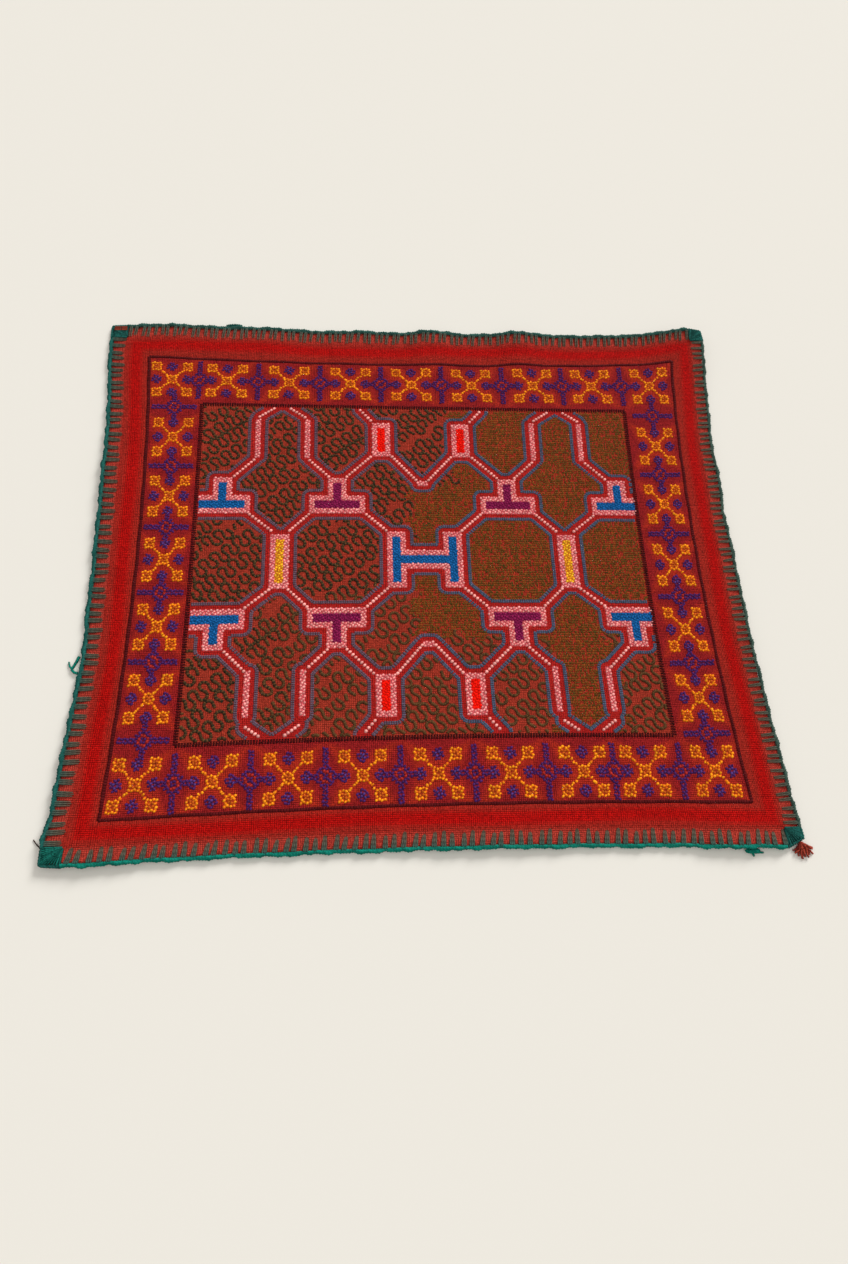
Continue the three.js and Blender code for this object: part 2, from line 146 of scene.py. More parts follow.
def ramp(value, start, end):
    """0 up to the start, 1 from the end on, and straight between them. The end may be the lower."""
    return np.clip((value - start) / (end - start), 0, 1)


def mixed(first, second, share):
    """The colour between two, or a row of colours for a row of shares."""
    share = np.asarray(share)
    return first + (second - first) * (share[:, None] if share.ndim else share)


def between_lines(low, high, value, along):
    """Where nominal places lie, shared out between the bowed lines on either side."""
    stops = [low["edge"], low["band"], low["panel"], high["panel"], high["band"], high["edge"]]
    nominal = np.array([stop[0] for stop in stops])
    index = np.clip(np.searchsorted(nominal, value, side="left"), 1, 5)
    places = np.array([line_at(stop, along) for stop in stops])
    before = np.take_along_axis(places, (index - 1)[None, ...], 0)[0]
    after = np.take_along_axis(places, index[None, ...], 0)[0]
    share = (value - nominal[index - 1]) / (nominal[index] - nominal[index - 1])
    return before + (after - before) * share


def depths(s, t):
    """How far a nominal place is from each side."""
    return {
        "left": s + HALF_LENGTH,
        "right": HALF_LENGTH - s,
        "front": t + HALF_DEPTH,
        "back": HALF_DEPTH - t,
    }


def underside(s, t):
    """The underside's place, as x, y and lift in millimetres, for nominal places on the cloth."""
    s, t = np.broadcast_arrays(np.asarray(s, float), np.asarray(t, float))
    x = between_lines(LINES["left"], LINES["right"], s, t)
    y = between_lines(LINES["front"], LINES["back"], t, s)
    lift = np.zeros_like(x)
    depth = depths(s, t)
    for side, place, half_width, reach, out, up in FOLDS:
        across, outward = SIDES[side]
        weight = hump((s if across else t) - place, half_width) * fade(depth[side], reach)
        if across:
            y = y + outward * out * weight
        else:
            x = x + outward * out * weight
        lift = lift + up * weight
    for one, other, inset_x, inset_y in CORNERS:
        near = np.clip(1 - depth[one] / HEM, 0, 1) * np.clip(1 - depth[other] / HEM, 0, 1)
        x = x - SIDES[one][1] * inset_x * near
        y = y - SIDES[other][1] * inset_y * near
    return x, y, lift


def on_cloth(s, t, height=THICKNESS):
    """Points in metres at a height over the underside."""
    x, y, lift = underside(s, t)
    return np.stack([x, y, lift + height], axis=-1) * MM


def facing(s, t, turn):
    """Euler angles that stand small pieces on the cloth, each turned by an angle in its plane."""
    here = on_cloth(s, t)
    right = on_cloth(s + 1.0, t) - here
    ahead = on_cloth(s, t + 1.0) - here
    right = right / np.linalg.norm(right, axis=-1, keepdims=True)
    up = np.cross(right, ahead)
    up = up / np.linalg.norm(up, axis=-1, keepdims=True)
    ahead = np.cross(up, right)
    cosine, sine = np.cos(turn)[:, None], np.sin(turn)[:, None]
    first = right * cosine + ahead * sine
    second = ahead * cosine - right * sine
    angles = [
        np.arctan2(second[:, 2], up[:, 2]),
        -np.arcsin(np.clip(first[:, 2], -1, 1)),
        np.arctan2(first[:, 1], first[:, 0]),
    ]
    return np.stack(angles, axis=-1)


def srgb(red, green, blue):
    """A colour from 0 to 255 in each part, as Blender's linear values."""
    parts = [part / 255 for part in (red, green, blue)]
    return tuple(p / 12.92 if p <= 0.04045 else ((p + 0.055) / 1.055) ** 2.4 for p in parts)


class Value:
    """A node's output that Python sums work on."""

    def __init__(self, nodes, socket):
        self.nodes = nodes
        self.socket = socket

    def maths(self, operation, *terms):
        """A sum on the given terms, made by one Math node."""
        return self.nodes.add("ShaderNodeMath", dict(enumerate(terms)), operation=operation)

    def __add__(self, other):
        return self.maths("ADD", self, other)

    __radd__ = __add__

    def __sub__(self, other):
        return self.maths("SUBTRACT", self, other)

    def __rsub__(self, other):
        return self.maths("SUBTRACT", other, self)

    def __mul__(self, other):
        return self.maths("MULTIPLY", self, other)

    __rmul__ = __mul__

    def __truediv__(self, other):
        return self.maths("DIVIDE", self, other)

    def floor(self):
        return self.maths("FLOOR", self)

    def fraction(self):
        return self.maths("FRACT", self)

    def sine(self):
        return self.maths("SINE", self)

    def cosine(self):
        return self.maths("COSINE", self)


class Nodes:
    """Adds nodes to one tree."""

    def __init__(self, tree):
        self.tree = tree

    def add(self, kind, inputs=None, output=0, **settings):
        """Adds a node, makes its settings, feeds its inputs and gives one of its outputs."""
        node = self.tree.nodes.new(kind)
        for name, setting in settings.items():
            setattr(node, name, setting)
        for key, term in (inputs or {}).items():
            self.feed(node.inputs[key], term)
        return Value(self, node.outputs[output])

    def feed(self, socket, term):
        """Links a value to a socket, or sets a plain number, vector or name on it."""
        if isinstance(term, Value):
            self.tree.links.new(term.socket, socket)
        else:
            socket.default_value = term


class Finish(Nodes):
    """A material with one Principled shader, as dull as yarn."""

    SPECULAR = 0.06

    def __init__(self, name):
        self.material = bpy.data.materials.new(name)
        self.material.use_nodes = True
        super().__init__(self.material.node_tree)
        self.shader = self.tree.nodes["Principled BSDF"].inputs
        self.shader["Specular IOR Level"].default_value = self.SPECULAR

    def attribute(self, name, output="Fac"):
        return self.add("ShaderNodeAttribute", None, output, attribute_name=name)

    def chart(self):
        """The nominal place on the cloth in millimetres, from the piece's UV map."""
        uv = self.add("ShaderNodeUVMap", uv_map="chart")
        across, along = (self.add("ShaderNodeSeparateXYZ", {0: uv}, axis) for axis in (0, 1))
        return across * (2 * HALF_LENGTH) - HALF_LENGTH, along * (2 * HALF_DEPTH) - HALF_DEPTH

    def object_place(self):
        return self.add("ShaderNodeTexCoord", output="Object")

    def joined(self, x, y):
        return self.add("ShaderNodeCombineXYZ", {0: x, 1: y})

    def noise(self, place, scale, detail, rough):
        inputs = {"Vector": place, "Scale": scale, "Detail": detail, "Roughness": rough}
        return self.add("ShaderNodeTexNoise", inputs, "Fac")

    def knots(self, place, scale, randomness):
        """1 in the middle of each of many small knots, less towards its edge."""
        inputs = {"Vector": place, "Scale": scale, "Randomness": randomness}
        return 1.0 - self.add("ShaderNodeTexVoronoi", inputs, "Distance", voronoi_dimensions="2D")

    def speckle(self, place):
        return self.add("ShaderNodeTexWhiteNoise", {"Vector": place}, "Value")

    def shade(self, colour, amount):
        """The colour made darker or lighter by a number."""
        return self.add("ShaderNodeVectorMath", {0: colour, "Scale": amount}, operation="SCALE")

    def done(self, colour, roughness, height, distance):
        """Feeds the shader its colour, its roughness and the bump of a height, and gives the material."""
        self.feed(self.shader["Base Color"], colour)
        self.feed(self.shader["Roughness"], roughness)
        bump = self.add("ShaderNodeBump", {"Height": height, "Distance": distance, "Strength": 1.0})
        self.feed(self.shader["Normal"], bump)
        return self.material


class Tree(Nodes):
    """A geometry tree with named inputs. run() turns its result into a plain mesh piece."""

    def __init__(self, name, inputs):
        super().__init__(bpy.data.node_groups.new(name, "GeometryNodeTree"))
        sockets = self.tree.interface
        for way in ("INPUT", "OUTPUT"):
            sockets.new_socket("Geometry", in_out=way, socket_type="NodeSocketGeometry")
        for label, default in inputs.items():
            kind = "NodeSocketInt" if isinstance(default, int) else "NodeSocketFloat"
            sockets.new_socket(label, in_out="INPUT", socket_type=kind).default_value = default
        sockets.new_socket("Material", in_out="INPUT", socket_type="NodeSocketMaterial")
        self.start = self.tree.nodes.new("NodeGroupInput").outputs
        self.end = self.tree.nodes.new("NodeGroupOutput").inputs

    def given(self, label):
        return Value(self, self.start[label])

    def named(self, name, kind="FLOAT"):
        return self.add("GeometryNodeInputNamedAttribute", {"Name": name}, data_type=kind)

    def random(self, low, high, seed):
        return self.add("FunctionNodeRandomValue", {2: low, 3: high, "Seed": seed}, 1, data_type="FLOAT")

    def vector(self, parts):
        return self.add("ShaderNodeCombineXYZ", parts)

    def store(self, geometry, name, value):
        """The geometry with a number kept on each of its points."""
        inputs = {"Geometry": geometry, "Name": name, "Value": value}
        return self.add("GeometryNodeStoreNamedAttribute", inputs, data_type="FLOAT", domain="POINT")

    def close(self, geometry):
        """The last nodes: real geometry, smooth, with its material."""
        real = self.add("GeometryNodeRealizeInstances", {0: geometry})
        even = self.add("GeometryNodeSetShadeSmooth", {0: real})
        painted = {"Geometry": even, "Material": self.given("Material")}
        self.feed(self.end[0], self.add("GeometryNodeSetMaterial", painted))

    def run(self, name, made, settings):
        """Works on a guide, and leaves only the plain mesh that comes of it."""
        modifier = made.modifiers.new("tree", "NODES")
        modifier.node_group = self.tree
        for socket in self.tree.interface.items_tree:
            if socket.in_out == "INPUT" and socket.name in settings:
                modifier[socket.identifier] = settings[socket.name]
        graph = bpy.context.evaluated_depsgraph_get()
        mesh = bpy.data.meshes.new_from_object(
            made.evaluated_get(graph), preserve_all_data_layers=True, depsgraph=graph
        )
        old = made.data
        bpy.data.objects.remove(made)
        bpy.data.meshes.remove(old)
        mesh.name = name
        return linked(name, mesh)


def stitch_tree(is_round):
    """Lays one small stitch on each point, turned by its facing and stretched along itself.

    A stitch is round, or low and four-sided where stitches are many or lie under others.
    """
    sizes = {"Length": 1.7 * MM, "Width": 0.6 * MM, "Height": 0.4 * MM, "Unevenness": 0.12, "Seed": SEED}
    tree = Tree("Yarn stitches", sizes)
    seed = tree.given("Seed")
    uneven = tree.given("Unevenness")

    def about_one(step):
        return tree.random(1.0 - uneven, 1.0 + uneven, seed + step)

    if is_round:
        shape = tree.add("GeometryNodeMeshUVSphere", {"Segments": 6, "Rings": 2, "Radius": 1.0})
    else:
        cone = {"Vertices": 4, "Radius Top": 0.0, "Radius Bottom": 1.0, "Depth": 1.0}
        shape = tree.add("GeometryNodeMeshCone", cone, fill_type="NGON")
    size = tree.vector({axis: tree.given(label) for axis, label in enumerate(("Length", "Width", "Height"))})
    stitch = tree.add("GeometryNodeTransform", {0: shape, "Scale": size})
    points = tree.store(tree.given("Geometry"), "tint", tree.random(0.0, 1.0, seed))
    scale = tree.vector({0: tree.named("stretch") * about_one(1.0), 1: about_one(2.0), 2: about_one(3.0)})
    stand = tree.add("FunctionNodeEulerToRotation", {0: tree.named("facing", "FLOAT_VECTOR")})
    sway = tree.vector({2: tree.random(uneven * -1.0, uneven, seed + 4.0)})
    little = tree.add("FunctionNodeEulerToRotation", {0: sway})
    turned = tree.add("FunctionNodeRotateRotation", {0: stand, 1: little}, rotation_space="LOCAL")
    laid = {"Points": points, "Instance": stitch, "Rotation": turned, "Scale": scale}
    tree.close(tree.add("GeometryNodeInstanceOnPoints", laid))
    return tree


def yarn_tree():
    """Spins a twisted, plied yarn along each line of a guide, with the thickness that its points hold."""
    sizes = {"Step": 0.8 * MM, "Sides": 9, "Plies": 3.0, "Ply depth": 0.16, "Twist": 900.0}
    tree = Tree("Plied yarn", sizes)
    curve = tree.add("GeometryNodeMeshToCurve", {0: tree.given("Geometry")})
    steps = {"Curve": curve, "Length": tree.given("Step")}
    even = tree.add("GeometryNodeResampleCurve", steps, mode="LENGTH")
    line = tree.store(even, "along", tree.add("GeometryNodeSplineParameter", output="Length"))
    upright = tree.add("GeometryNodeSetCurveNormal", {0: line}, mode="Z_UP")
    tilt = tree.named("along") * tree.given("Twist")
    twisted = tree.add("GeometryNodeSetCurveTilt", {0: upright, "Tilt": tilt})
    circle = tree.add("GeometryNodeCurvePrimitiveCircle", {"Resolution": tree.given("Sides"), "Radius": 1.0})
    around = tree.add("GeometryNodeSplineParameter", output="Factor")
    ring = tree.store(circle, "around", around)
    lobe = (around * (2 * math.pi) * tree.given("Plies")).cosine()
    reach = 1.0 + lobe * tree.given("Ply depth") - tree.given("Ply depth")
    middle = tree.add("GeometryNodeInputPosition")
    swollen = tree.add("ShaderNodeVectorMath", {0: middle, "Scale": reach}, operation="SCALE")
    profile = tree.add("GeometryNodeSetPosition", {0: ring, "Position": swollen})
    tube = {"Curve": twisted, "Profile Curve": profile, "Scale": tree.named("thick"), "Fill Caps": True}
    tree.close(tree.add("GeometryNodeCurveToMesh", tube))
    return tree


def linked(name, data):
    """A new object in the scene."""
    piece = bpy.data.objects.new(name, data)
    bpy.context.scene.collection.objects.link(piece)
    return piece


def new_piece(name, points, faces=(), edges=()):
    mesh = bpy.data.meshes.new(name)
    mesh.from_pydata([tuple(point) for point in points], list(edges), list(faces))
    mesh.update()
    return linked(name, mesh)


def keep_on(mesh, name, values, domain="POINT"):
    """Keeps a row of numbers, or rows of vectors or of colours with alpha, on a mesh."""
    values = np.asarray(values, dtype=np.float32)
    kinds = {1: ("FLOAT", "value"), 3: ("FLOAT_VECTOR", "vector"), 4: ("FLOAT_COLOR", "color")}
    kind, key = kinds[values.size // len(values)]
    mesh.attributes.new(name, kind, domain).data.foreach_set(key, values.ravel())


def with_alpha(colours):
    return np.concatenate([colours, np.ones((len(colours), 1))], axis=1)


def guide(points, edges=(), **attributes):
    """A mesh of loose points or lines that a tree works on."""
    made = new_piece("guide", points, edges=edges)
    for name, values in attributes.items():
        keep_on(made.data, name, values)
    return made


def hand_over(piece, slot_name, *nodes):
    """Puts a finished piece on the frame, in place of the frame's nodes that it stands for."""
    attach(piece, "root")
    if nodes:
        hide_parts(*nodes)


# The panel's chart: how wide and high a stitch is, and where the middle row lies.
CHART_WIDTH = 2.46
CHART_HEIGHT = 2.75
CHART_MIDDLE = -3.0


def chart_cell(s, t):
    """The panel chart's column and row at nominal places."""
    return np.round(s / CHART_WIDTH - 0.5), np.round((t - CHART_MIDDLE) / CHART_HEIGHT)


def cell_places(cells):
    """The nominal places of the panel chart's stitches."""
    cells = np.array(cells, float)
    return (cells[:, 0] + 0.5) * CHART_WIDTH, CHART_MIDDLE + cells[:, 1] * CHART_HEIGHT


# The yarn between a cross-stitch's tops beside the tops' own: darker with painted shade, as the tops shade
# it, and redder where it is light.
UNDER_SHADE = 0.8
UNDER_RED = 0.95
UNDER_PINK = (0.68, 0.24, 0.3)
UNDER_GOLD = (0.74, 0.36, 0.5)


def shaded_under_yarn(colour):
    """The colour of the yarn between a cross-stitch's tops, darkened with painted shade."""
    if colour[0] < 0.9:
        return colour * UNDER_SHADE
    if colour[1] < 0.2:
        return colour * UNDER_RED
    return colour * (UNDER_PINK if colour[2] > 0.2 else UNDER_GOLD)


# Each kind of stitch: its reach along itself, across and up in millimetres, how uneven it is, and
# whether it is round.
STITCH_KINDS = {
    "cross": (1.3, 1.1, 0.85, 0.25, True),
    "under": (1.75, 1.75, 0.5, 0.05, False),
    "diagonal": (1.6, 1.5, 0.9, 0.12, True),
    "under diagonal": (2.4, 2.2, 0.5, 0.2, False),
    "outline": (1.15, 1.15, 0.65, 0.12, True),
    "winding": (1.25, 1.65, 0.7, 0.12, True),
    "fine": (2.0, 0.9, 0.6, 0.12, False),
    "seam": (1.3, 0.8, 0.5, 0.12, True),
    "band line": (1.8, 2.0, 0.7, 0.12, True),
}
# How far a cross-stitch strays at random and by turns, as shares of its cell, and its lean in radians.
STRAY = 0.12
STAGGER = 0.2
LEAN = 0.6
# The most that a cross-stitch's top is worn towards the yarn under it.
WORN = 0.6


class Stitches:
    """Collects stitches on the cloth, then lays them as one piece."""

    def __init__(self):
        self.random = np.random.default_rng(SEED)
        self.rows = []

    def strands(self, s, t, turn, height, colour, stretch=1.0):
        """Single stitches at nominal places, each with its turn, height and colour."""
        columns = [np.broadcast_to(column, len(s)) for column in (s, t, turn, height, stretch)]
        self.rows.append(np.concatenate([columns, np.broadcast_to(colour, (len(s), 3)).T]))

    def crosses(self, s, t, colour, height=0.1):
        """Cross-stitches as they stand out of the cloth, each with a round top, some worn dark."""
        aside = self.random.uniform(-STRAY, STRAY, (2, len(s)))
        columns, rows = chart_cell(s, t)
        aside += STAGGER * np.stack([2 * (rows % 2) - 1, 2 * (columns % 2) - 1])
        lean = math.pi / 4 + self.random.uniform(-LEAN, LEAN, len(s))
        worn = self.random.uniform(0, 1, (len(s), 1)) ** 2.0 * WORN
        shade = colour * (1 - worn) + shaded_under_yarn(colour) * worn
        places = s + aside[0] * CHART_WIDTH, t + aside[1] * CHART_HEIGHT
        self.strands(*places, lean, THICKNESS + height, shade)

    def lay(self, name, kind="cross", slot_name="cloth"):
        """Lays the stitches as one piece of a kind, and puts it on the frame."""
        s, t, turns, heights, stretches, *shade = np.concatenate(self.rows, axis=1)
        made = guide(
            on_cloth(s, t, heights),
            facing=facing(s, t, turns),
            stretch=stretches,
            yarn=with_alpha(np.stack(shade, axis=1)),
        )
        *reach, unevenness, is_round = STITCH_KINDS[kind]
        reach = bpy.context.scene.cloth_sizes.stitch if kind == "cross" else [part * MM for part in reach]
        settings = dict(zip(("Length", "Width", "Height"), reach))
        settings["Unevenness"] = unevenness
        settings["Material"] = shared_finish("Embroidery yarn", stitch_finish)
        hand_over(stitch_tree(is_round).run(name, made, settings), slot_name)


def shared_finish(name, make):
    """The material of that name, made the first time that it is asked for."""
    return bpy.data.materials.get(name) or make(name)


def stitch_finish(name):
    """Embroidery yarn in the colour that each stitch holds, soft and a little fuzzy."""
    finish = Finish(name)
    fuzz = finish.noise(finish.object_place(), 1500.0, 2.0, 0.6)
    amount = (0.78 + 0.44 * finish.attribute("tint")) * (0.7 + 0.6 * fuzz)
    colour = finish.shade(finish.attribute("yarn", "Color"), amount)
    return finish.done(colour, 0.7 + 0.2 * fuzz, fuzz, 0.25 * MM)


def ground_finish(pitch):
    """The woven cloth: its colours by region, with painted shade between its threads and towards each small
    knot's edge, and uneven dye.
    """
    finish = Finish("Woven ground cloth")
    across, along = finish.chart()
    warp, weft = across / pitch, along / pitch
    warp_share, weft_share = warp.fraction(), weft.fraction()
    warp_round = 4.0 * warp_share * (1.0 - warp_share)
    weft_round = 4.0 * weft_share * (1.0 - weft_share)
    over = ((warp.floor() + weft.floor()) * 0.5).fraction() * 2.0
    height = over * warp_round * (0.45 + 0.55 * weft_round)
    height = height + (1.0 - over) * weft_round * (0.45 + 0.55 * warp_round)
    place = finish.joined(across, along)
    dye = finish.noise(place, 0.28, 3.0, 0.6)
    wear = finish.noise(place, 0.035, 2.0, 0.5)
    thread = finish.speckle(finish.joined(warp.floor(), weft.floor()))
    knot = finish.knots(place, 0.55, 0.55)
    # Painted shade: the colour is darker between the threads, by their height, and darker towards each
    # knot's edge.
    shade = (0.62 + 0.66 * height) * (0.72 + 0.56 * dye) * (0.9 + 0.2 * wear) * (0.88 + 0.24 * thread)
    colour = finish.shade(finish.attribute("ground", "Color"), shade * (0.48 + 0.82 * knot))
    fuzz = finish.noise(place, 2.2, 2.0, 0.6)
    relief = height + 0.5 * fuzz + 0.8 * dye + 1.5 * knot
    return finish.done(colour, 0.8 + 0.15 * dye, relief, 0.45 * MM)


def yarn_finish(name):
    """Thick plied yarn in its own colour, with painted shade in the grooves between its twisted plies, and
    fuzz.
    """
    finish = Finish(name)
    place = finish.object_place()
    fuzz = finish.noise(place, 1400.0, 3.0, 0.65)
    patch = finish.noise(place, 160.0, 2.0, 0.5)
    turns = finish.attribute("along") * 260.0 + finish.attribute("around") * 2.0
    ply = (turns * (2 * math.pi)).sine() * 0.5 + 0.5
    # Painted shade: the colour is darker along the grooves between the plies.
    amount = (0.66 + 0.34 * ply) * (0.6 + 0.5 * fuzz + 0.35 * patch)
    colour = finish.shade(finish.attribute("yarn", "Color"), amount)
    return finish.done(colour, 0.75 + 0.2 * fuzz, ply + 0.9 * fuzz, 0.35 * MM)


class ClothSizes(bpy.types.PropertyGroup):
    """Sizes of the cloth's weave and stitches"""

    weave_pitch: FloatProperty(
        name="Weave pitch",
        description="Distance from one thread of the ground cloth to the next",
        default=WEAVE_PITCH * MM,
        unit="LENGTH",
        precision=5,
    )
    stitch: FloatVectorProperty(
        name="Stitch",
        description="Reach of a cross-stitch's top along itself, across and up",
        default=[part * MM for part in STITCH_KINDS["cross"][:3]],
        subtype="XYZ_LENGTH",
        unit="LENGTH",
        precision=5,
    )


def colour_property(name, description, *parts):
    """A colour that a user may change, from its parts of 0 to 255."""
    return FloatVectorProperty(name=name, description=description, subtype="COLOR", default=srgb(*parts))


class ClothColours(bpy.types.PropertyGroup):
    """Colours of the cloth's grounds and yarns"""

    border_dull: colour_property("Border, dull", "Border near its edge and its line", 160, 38, 28)
    # Partly the border's own brownish red by the edge, made lighter as painted light against the shadow that
    # the edging yarn casts between its stitches.
    border_edge_with_painted_light: colour_property("Border, edge", "Border between the edging's stitches", 176, 58, 46)
    border_bright: colour_property("Border, bright", "Stripe in the border's middle", 178, 13, 9)
    band: colour_property("Star band", "Ground of the star band", 146, 29, 30)
    band_warm: colour_property("Star band, warm", "Ground of the star band beside the stars", 170, 42, 27)
    field: colour_property("Fields", "Ground of the fields between the lattice's outlines", 160, 52, 36)
    field_fine: colour_property("Fine fields", "Ground of the fields with the fine lines", 160, 48, 30)
    crimson: colour_property("Lattice ground", "Ground beside the pink lattice", 172, 32, 28)
    orange: colour_property("Stars", "Yarn of the stars", 255, 164, 28)
    orange_dark: colour_property("Star hearts", "Yarn in the middle of the stars' rings", 206, 96, 26)
    violet: colour_property("Knobs and crosses", "Yarn of the band's knobs and crosses", 80, 38, 100)
    violet_light: colour_property("Knob hearts", "Yarn in the middle of the knobs", 90, 60, 128)
    heart: colour_property("Cross hearts", "Yarn in the middle of the crosses", 176, 46, 40)
    pink: colour_property("Lattice", "Yarn of the lattice", 255, 172, 166)
    pink_light: colour_property("Diagonals", "Yarn of the lattice's diagonals", 255, 176, 166)
    yellow: colour_property("Yellow bars", "Core of the yellow bars", 255, 202, 44)
    blue: colour_property("Blue cores", "Core of the H and the outer Ts", 26, 104, 170)
    purple: colour_property("Purple cores", "Core of the inner Ts", 146, 30, 82)
    red: colour_property("Red bars", "Core of the red bars", 255, 24, 6)
    slate: colour_property("Outlines", "Yarn of the outlines beside the lattice", 104, 82, 96)
    steel: colour_property("Outlines, right", "Yarn of the outlines on the right side", 78, 90, 112)
    green: colour_property("Winding lines, green", "Darker yarn of the winding lines", 46, 42, 30)
    olive: colour_property("Winding lines, olive", "Lighter yarn of the winding lines", 98, 66, 38)
    moss: colour_property("Fine lines, moss", "Darker yarn of the fine lines", 76, 70, 28)
    brown: colour_property("Fine lines, brown", "Lighter yarn of the fine lines", 142, 76, 28)
    seam: colour_property("Panel seam", "Yarn of the seam round the panel", 48, 12, 14)
    seam_worn: colour_property("Panel seam, worn", "Redder yarn of the seam round the panel", 88, 18, 22)
    line: colour_property("Band line", "Yarn of the dark line round the star band", 84, 18, 20)
    teal: colour_property("Edging", "Yarn of the edging", 36, 100, 92)
    teal_bright: colour_property("Edging, front", "Yarn of the edging on the front side", 20, 132, 114)
    teal_worn: colour_property("Edging, worn", "Yarn of the edging's worn stitches", 112, 94, 78)
    thread: colour_property("Loose thread", "Yarn of the loose dark thread", 74, 53, 48)
    russet: colour_property("Tassel", "Lighter yarn of the tassel", 190, 80, 60)
    russet_dark: colour_property("Tassel, dark", "Darker yarn of the tassel", 138, 48, 42)
    rust: colour_property("Corner, rust", "Yarn over the back left corner", 150, 62, 44)


def palette(context):
    """The colours by name, as arrays that sums work on."""
    group = context.scene.cloth_colours
    return SimpleNamespace(**{name: np.array(getattr(group, name)) for name in ClothColours.__annotations__})


def in_box(line, s, t, margin=0.0):
    """Whether nominal places are inside the band's or the panel's lines."""
    left, right, front, back = places_of(line)
    return (s > left + margin) & (s < right - margin) & (t > front + margin) & (t < back - margin)


# How far from the cloth's edge the border's bright stripe starts and ends, and how soft its sides are.
STRIPE = (14.0, 31.0)
STRIPE_SOFTNESS = (5.0, 6.0)
# Where the red by the cloth's edge and the warm ground by a star's arms start to show, and are full.
# The red by the edge is lighter in part as painted light against the shadow that the edging yarn casts.
EDGE_RED_AND_PAINTED_LIGHT = (13.0, 10.0)
WARM_GROUND = (13.0, 5.0)
DYE_UNEVENNESS = 0.1


def region_colours(s, t, colours):
    """The ground's colour at nominal places: border stripes, star band and panel, with painted light by the
    edge and painted shade under the chart's stitches.
    """
    random = np.random.default_rng(SEED)
    edge = np.minimum.reduce(list(depths(s, t).values()))
    wavy = edge + 1.2 * np.sin(s / 37.0) + 0.9 * np.sin(t / 29.0 + 1.0)
    stripe = ramp(wavy, STRIPE[0], STRIPE[0] + STRIPE_SOFTNESS[0])
    stripe = stripe * ramp(wavy, STRIPE[1], STRIPE[1] - STRIPE_SOFTNESS[1])
    shades = mixed(colours.border_dull, colours.border_bright, stripe)
    # Lighter by the edge: in part painted light against the edging yarn's shadow between its stitches.
    shades = mixed(shades, colours.border_edge_with_painted_light, ramp(edge, *EDGE_RED_AND_PAINTED_LIGHT))
    ground = mixed(colours.band, colours.band_warm, ramp(star_distance(s, t), *WARM_GROUND))
    shades = np.where(in_box("band", s, t)[:, None], ground, shades)
    panel = Panel.get()
    inside = in_box("panel", s, t)
    near = ramp(panel.distance_at(s, t), OUTLINE_DISTANCE + 1.0, OUTLINE_DISTANCE - 1.0)
    field = np.where(is_bold(s, t)[:, None], colours.field, colours.field_fine)
    shades = np.where(inside[:, None], mixed(field, colours.crimson, near), shades)
    columns, rows = chart_cell(s, t)
    for k in np.flatnonzero(inside):
        kind = panel.cells.get((columns[k], rows[k]))
        if kind:
            # The ground under a chart stitch takes the yarn between its tops, darker with painted shade.
            shades[k] = shaded_under_yarn(getattr(colours, kind))
    return shades * random.uniform(1 - DYE_UNEVENNESS, 1 + DYE_UNEVENNESS, len(s))[:, None]


# The underside's grid has one line for so many of the top's.
LOW_EVERY = 4
# The top's grid lines run between the stitches of the panel's chart.
GRID_COLUMNS = np.arange(-120, 121) * CHART_WIDTH
GRID_ROWS = CHART_MIDDLE + (np.arange(-94, 96) - 0.5) * CHART_HEIGHT
CLOSEST_LINES = 1.0


def grid_lines(even, sides, half):
    """Even grid lines, with the band line's groove and the edges among them."""
    grooves = (-GROOVE_HALF_WIDTH, 0.0, GROOVE_HALF_WIDTH)
    special = [LINES[side]["band"][0] + aside for side in sides for aside in grooves] + [-half, half]
    kept = [line for line in even if all(abs(line - one) >= CLOSEST_LINES for one in special)]
    return np.array(sorted(kept + special))


def groove_depth(s, t):
    """How far the cloth is drawn down under the dark line of the band."""
    left, right, front, back = places_of("band")
    half_s = np.where(s < 0, -left, right)
    half_t = np.where(t < 0, -front, back)
    from_s = np.where(np.abs(t) <= half_t + GROOVE_HALF_WIDTH, np.abs(np.abs(s) - half_s), np.inf)
    from_t = np.where(np.abs(s) <= half_s + GROOVE_HALF_WIDTH, np.abs(np.abs(t) - half_t), np.inf)
    return GROOVE_DEPTH * hump(np.minimum(from_s, from_t), GROOVE_HALF_WIDTH)


def grid_faces(index, turned=False):
    """Four-sided faces over a grid of point numbers, turned round for an underside."""
    corners = [index[:-1, :-1], index[1:, :-1], index[1:, 1:], index[:-1, 1:]]
    if turned:
        corners = [corners[k] for k in (0, 3, 2, 1)]
    return np.stack(corners, axis=-1).reshape(-1, 4).tolist()


def hem_faces(top, low, marks, in_x):
    """Faces that join the two grids along two opposite sides, which run in x or in y."""
    faces = []
    for k, (start, end) in enumerate(zip(marks, marks[1:])):
        for edge in (0, -1):
            lower = [low[k, edge], low[k + 1, edge]]
            upper = list(top[start : end + 1, edge])
            (upper if (edge == 0) == in_x else lower).reverse()
            faces.append([int(point) for point in lower + upper])
    return faces


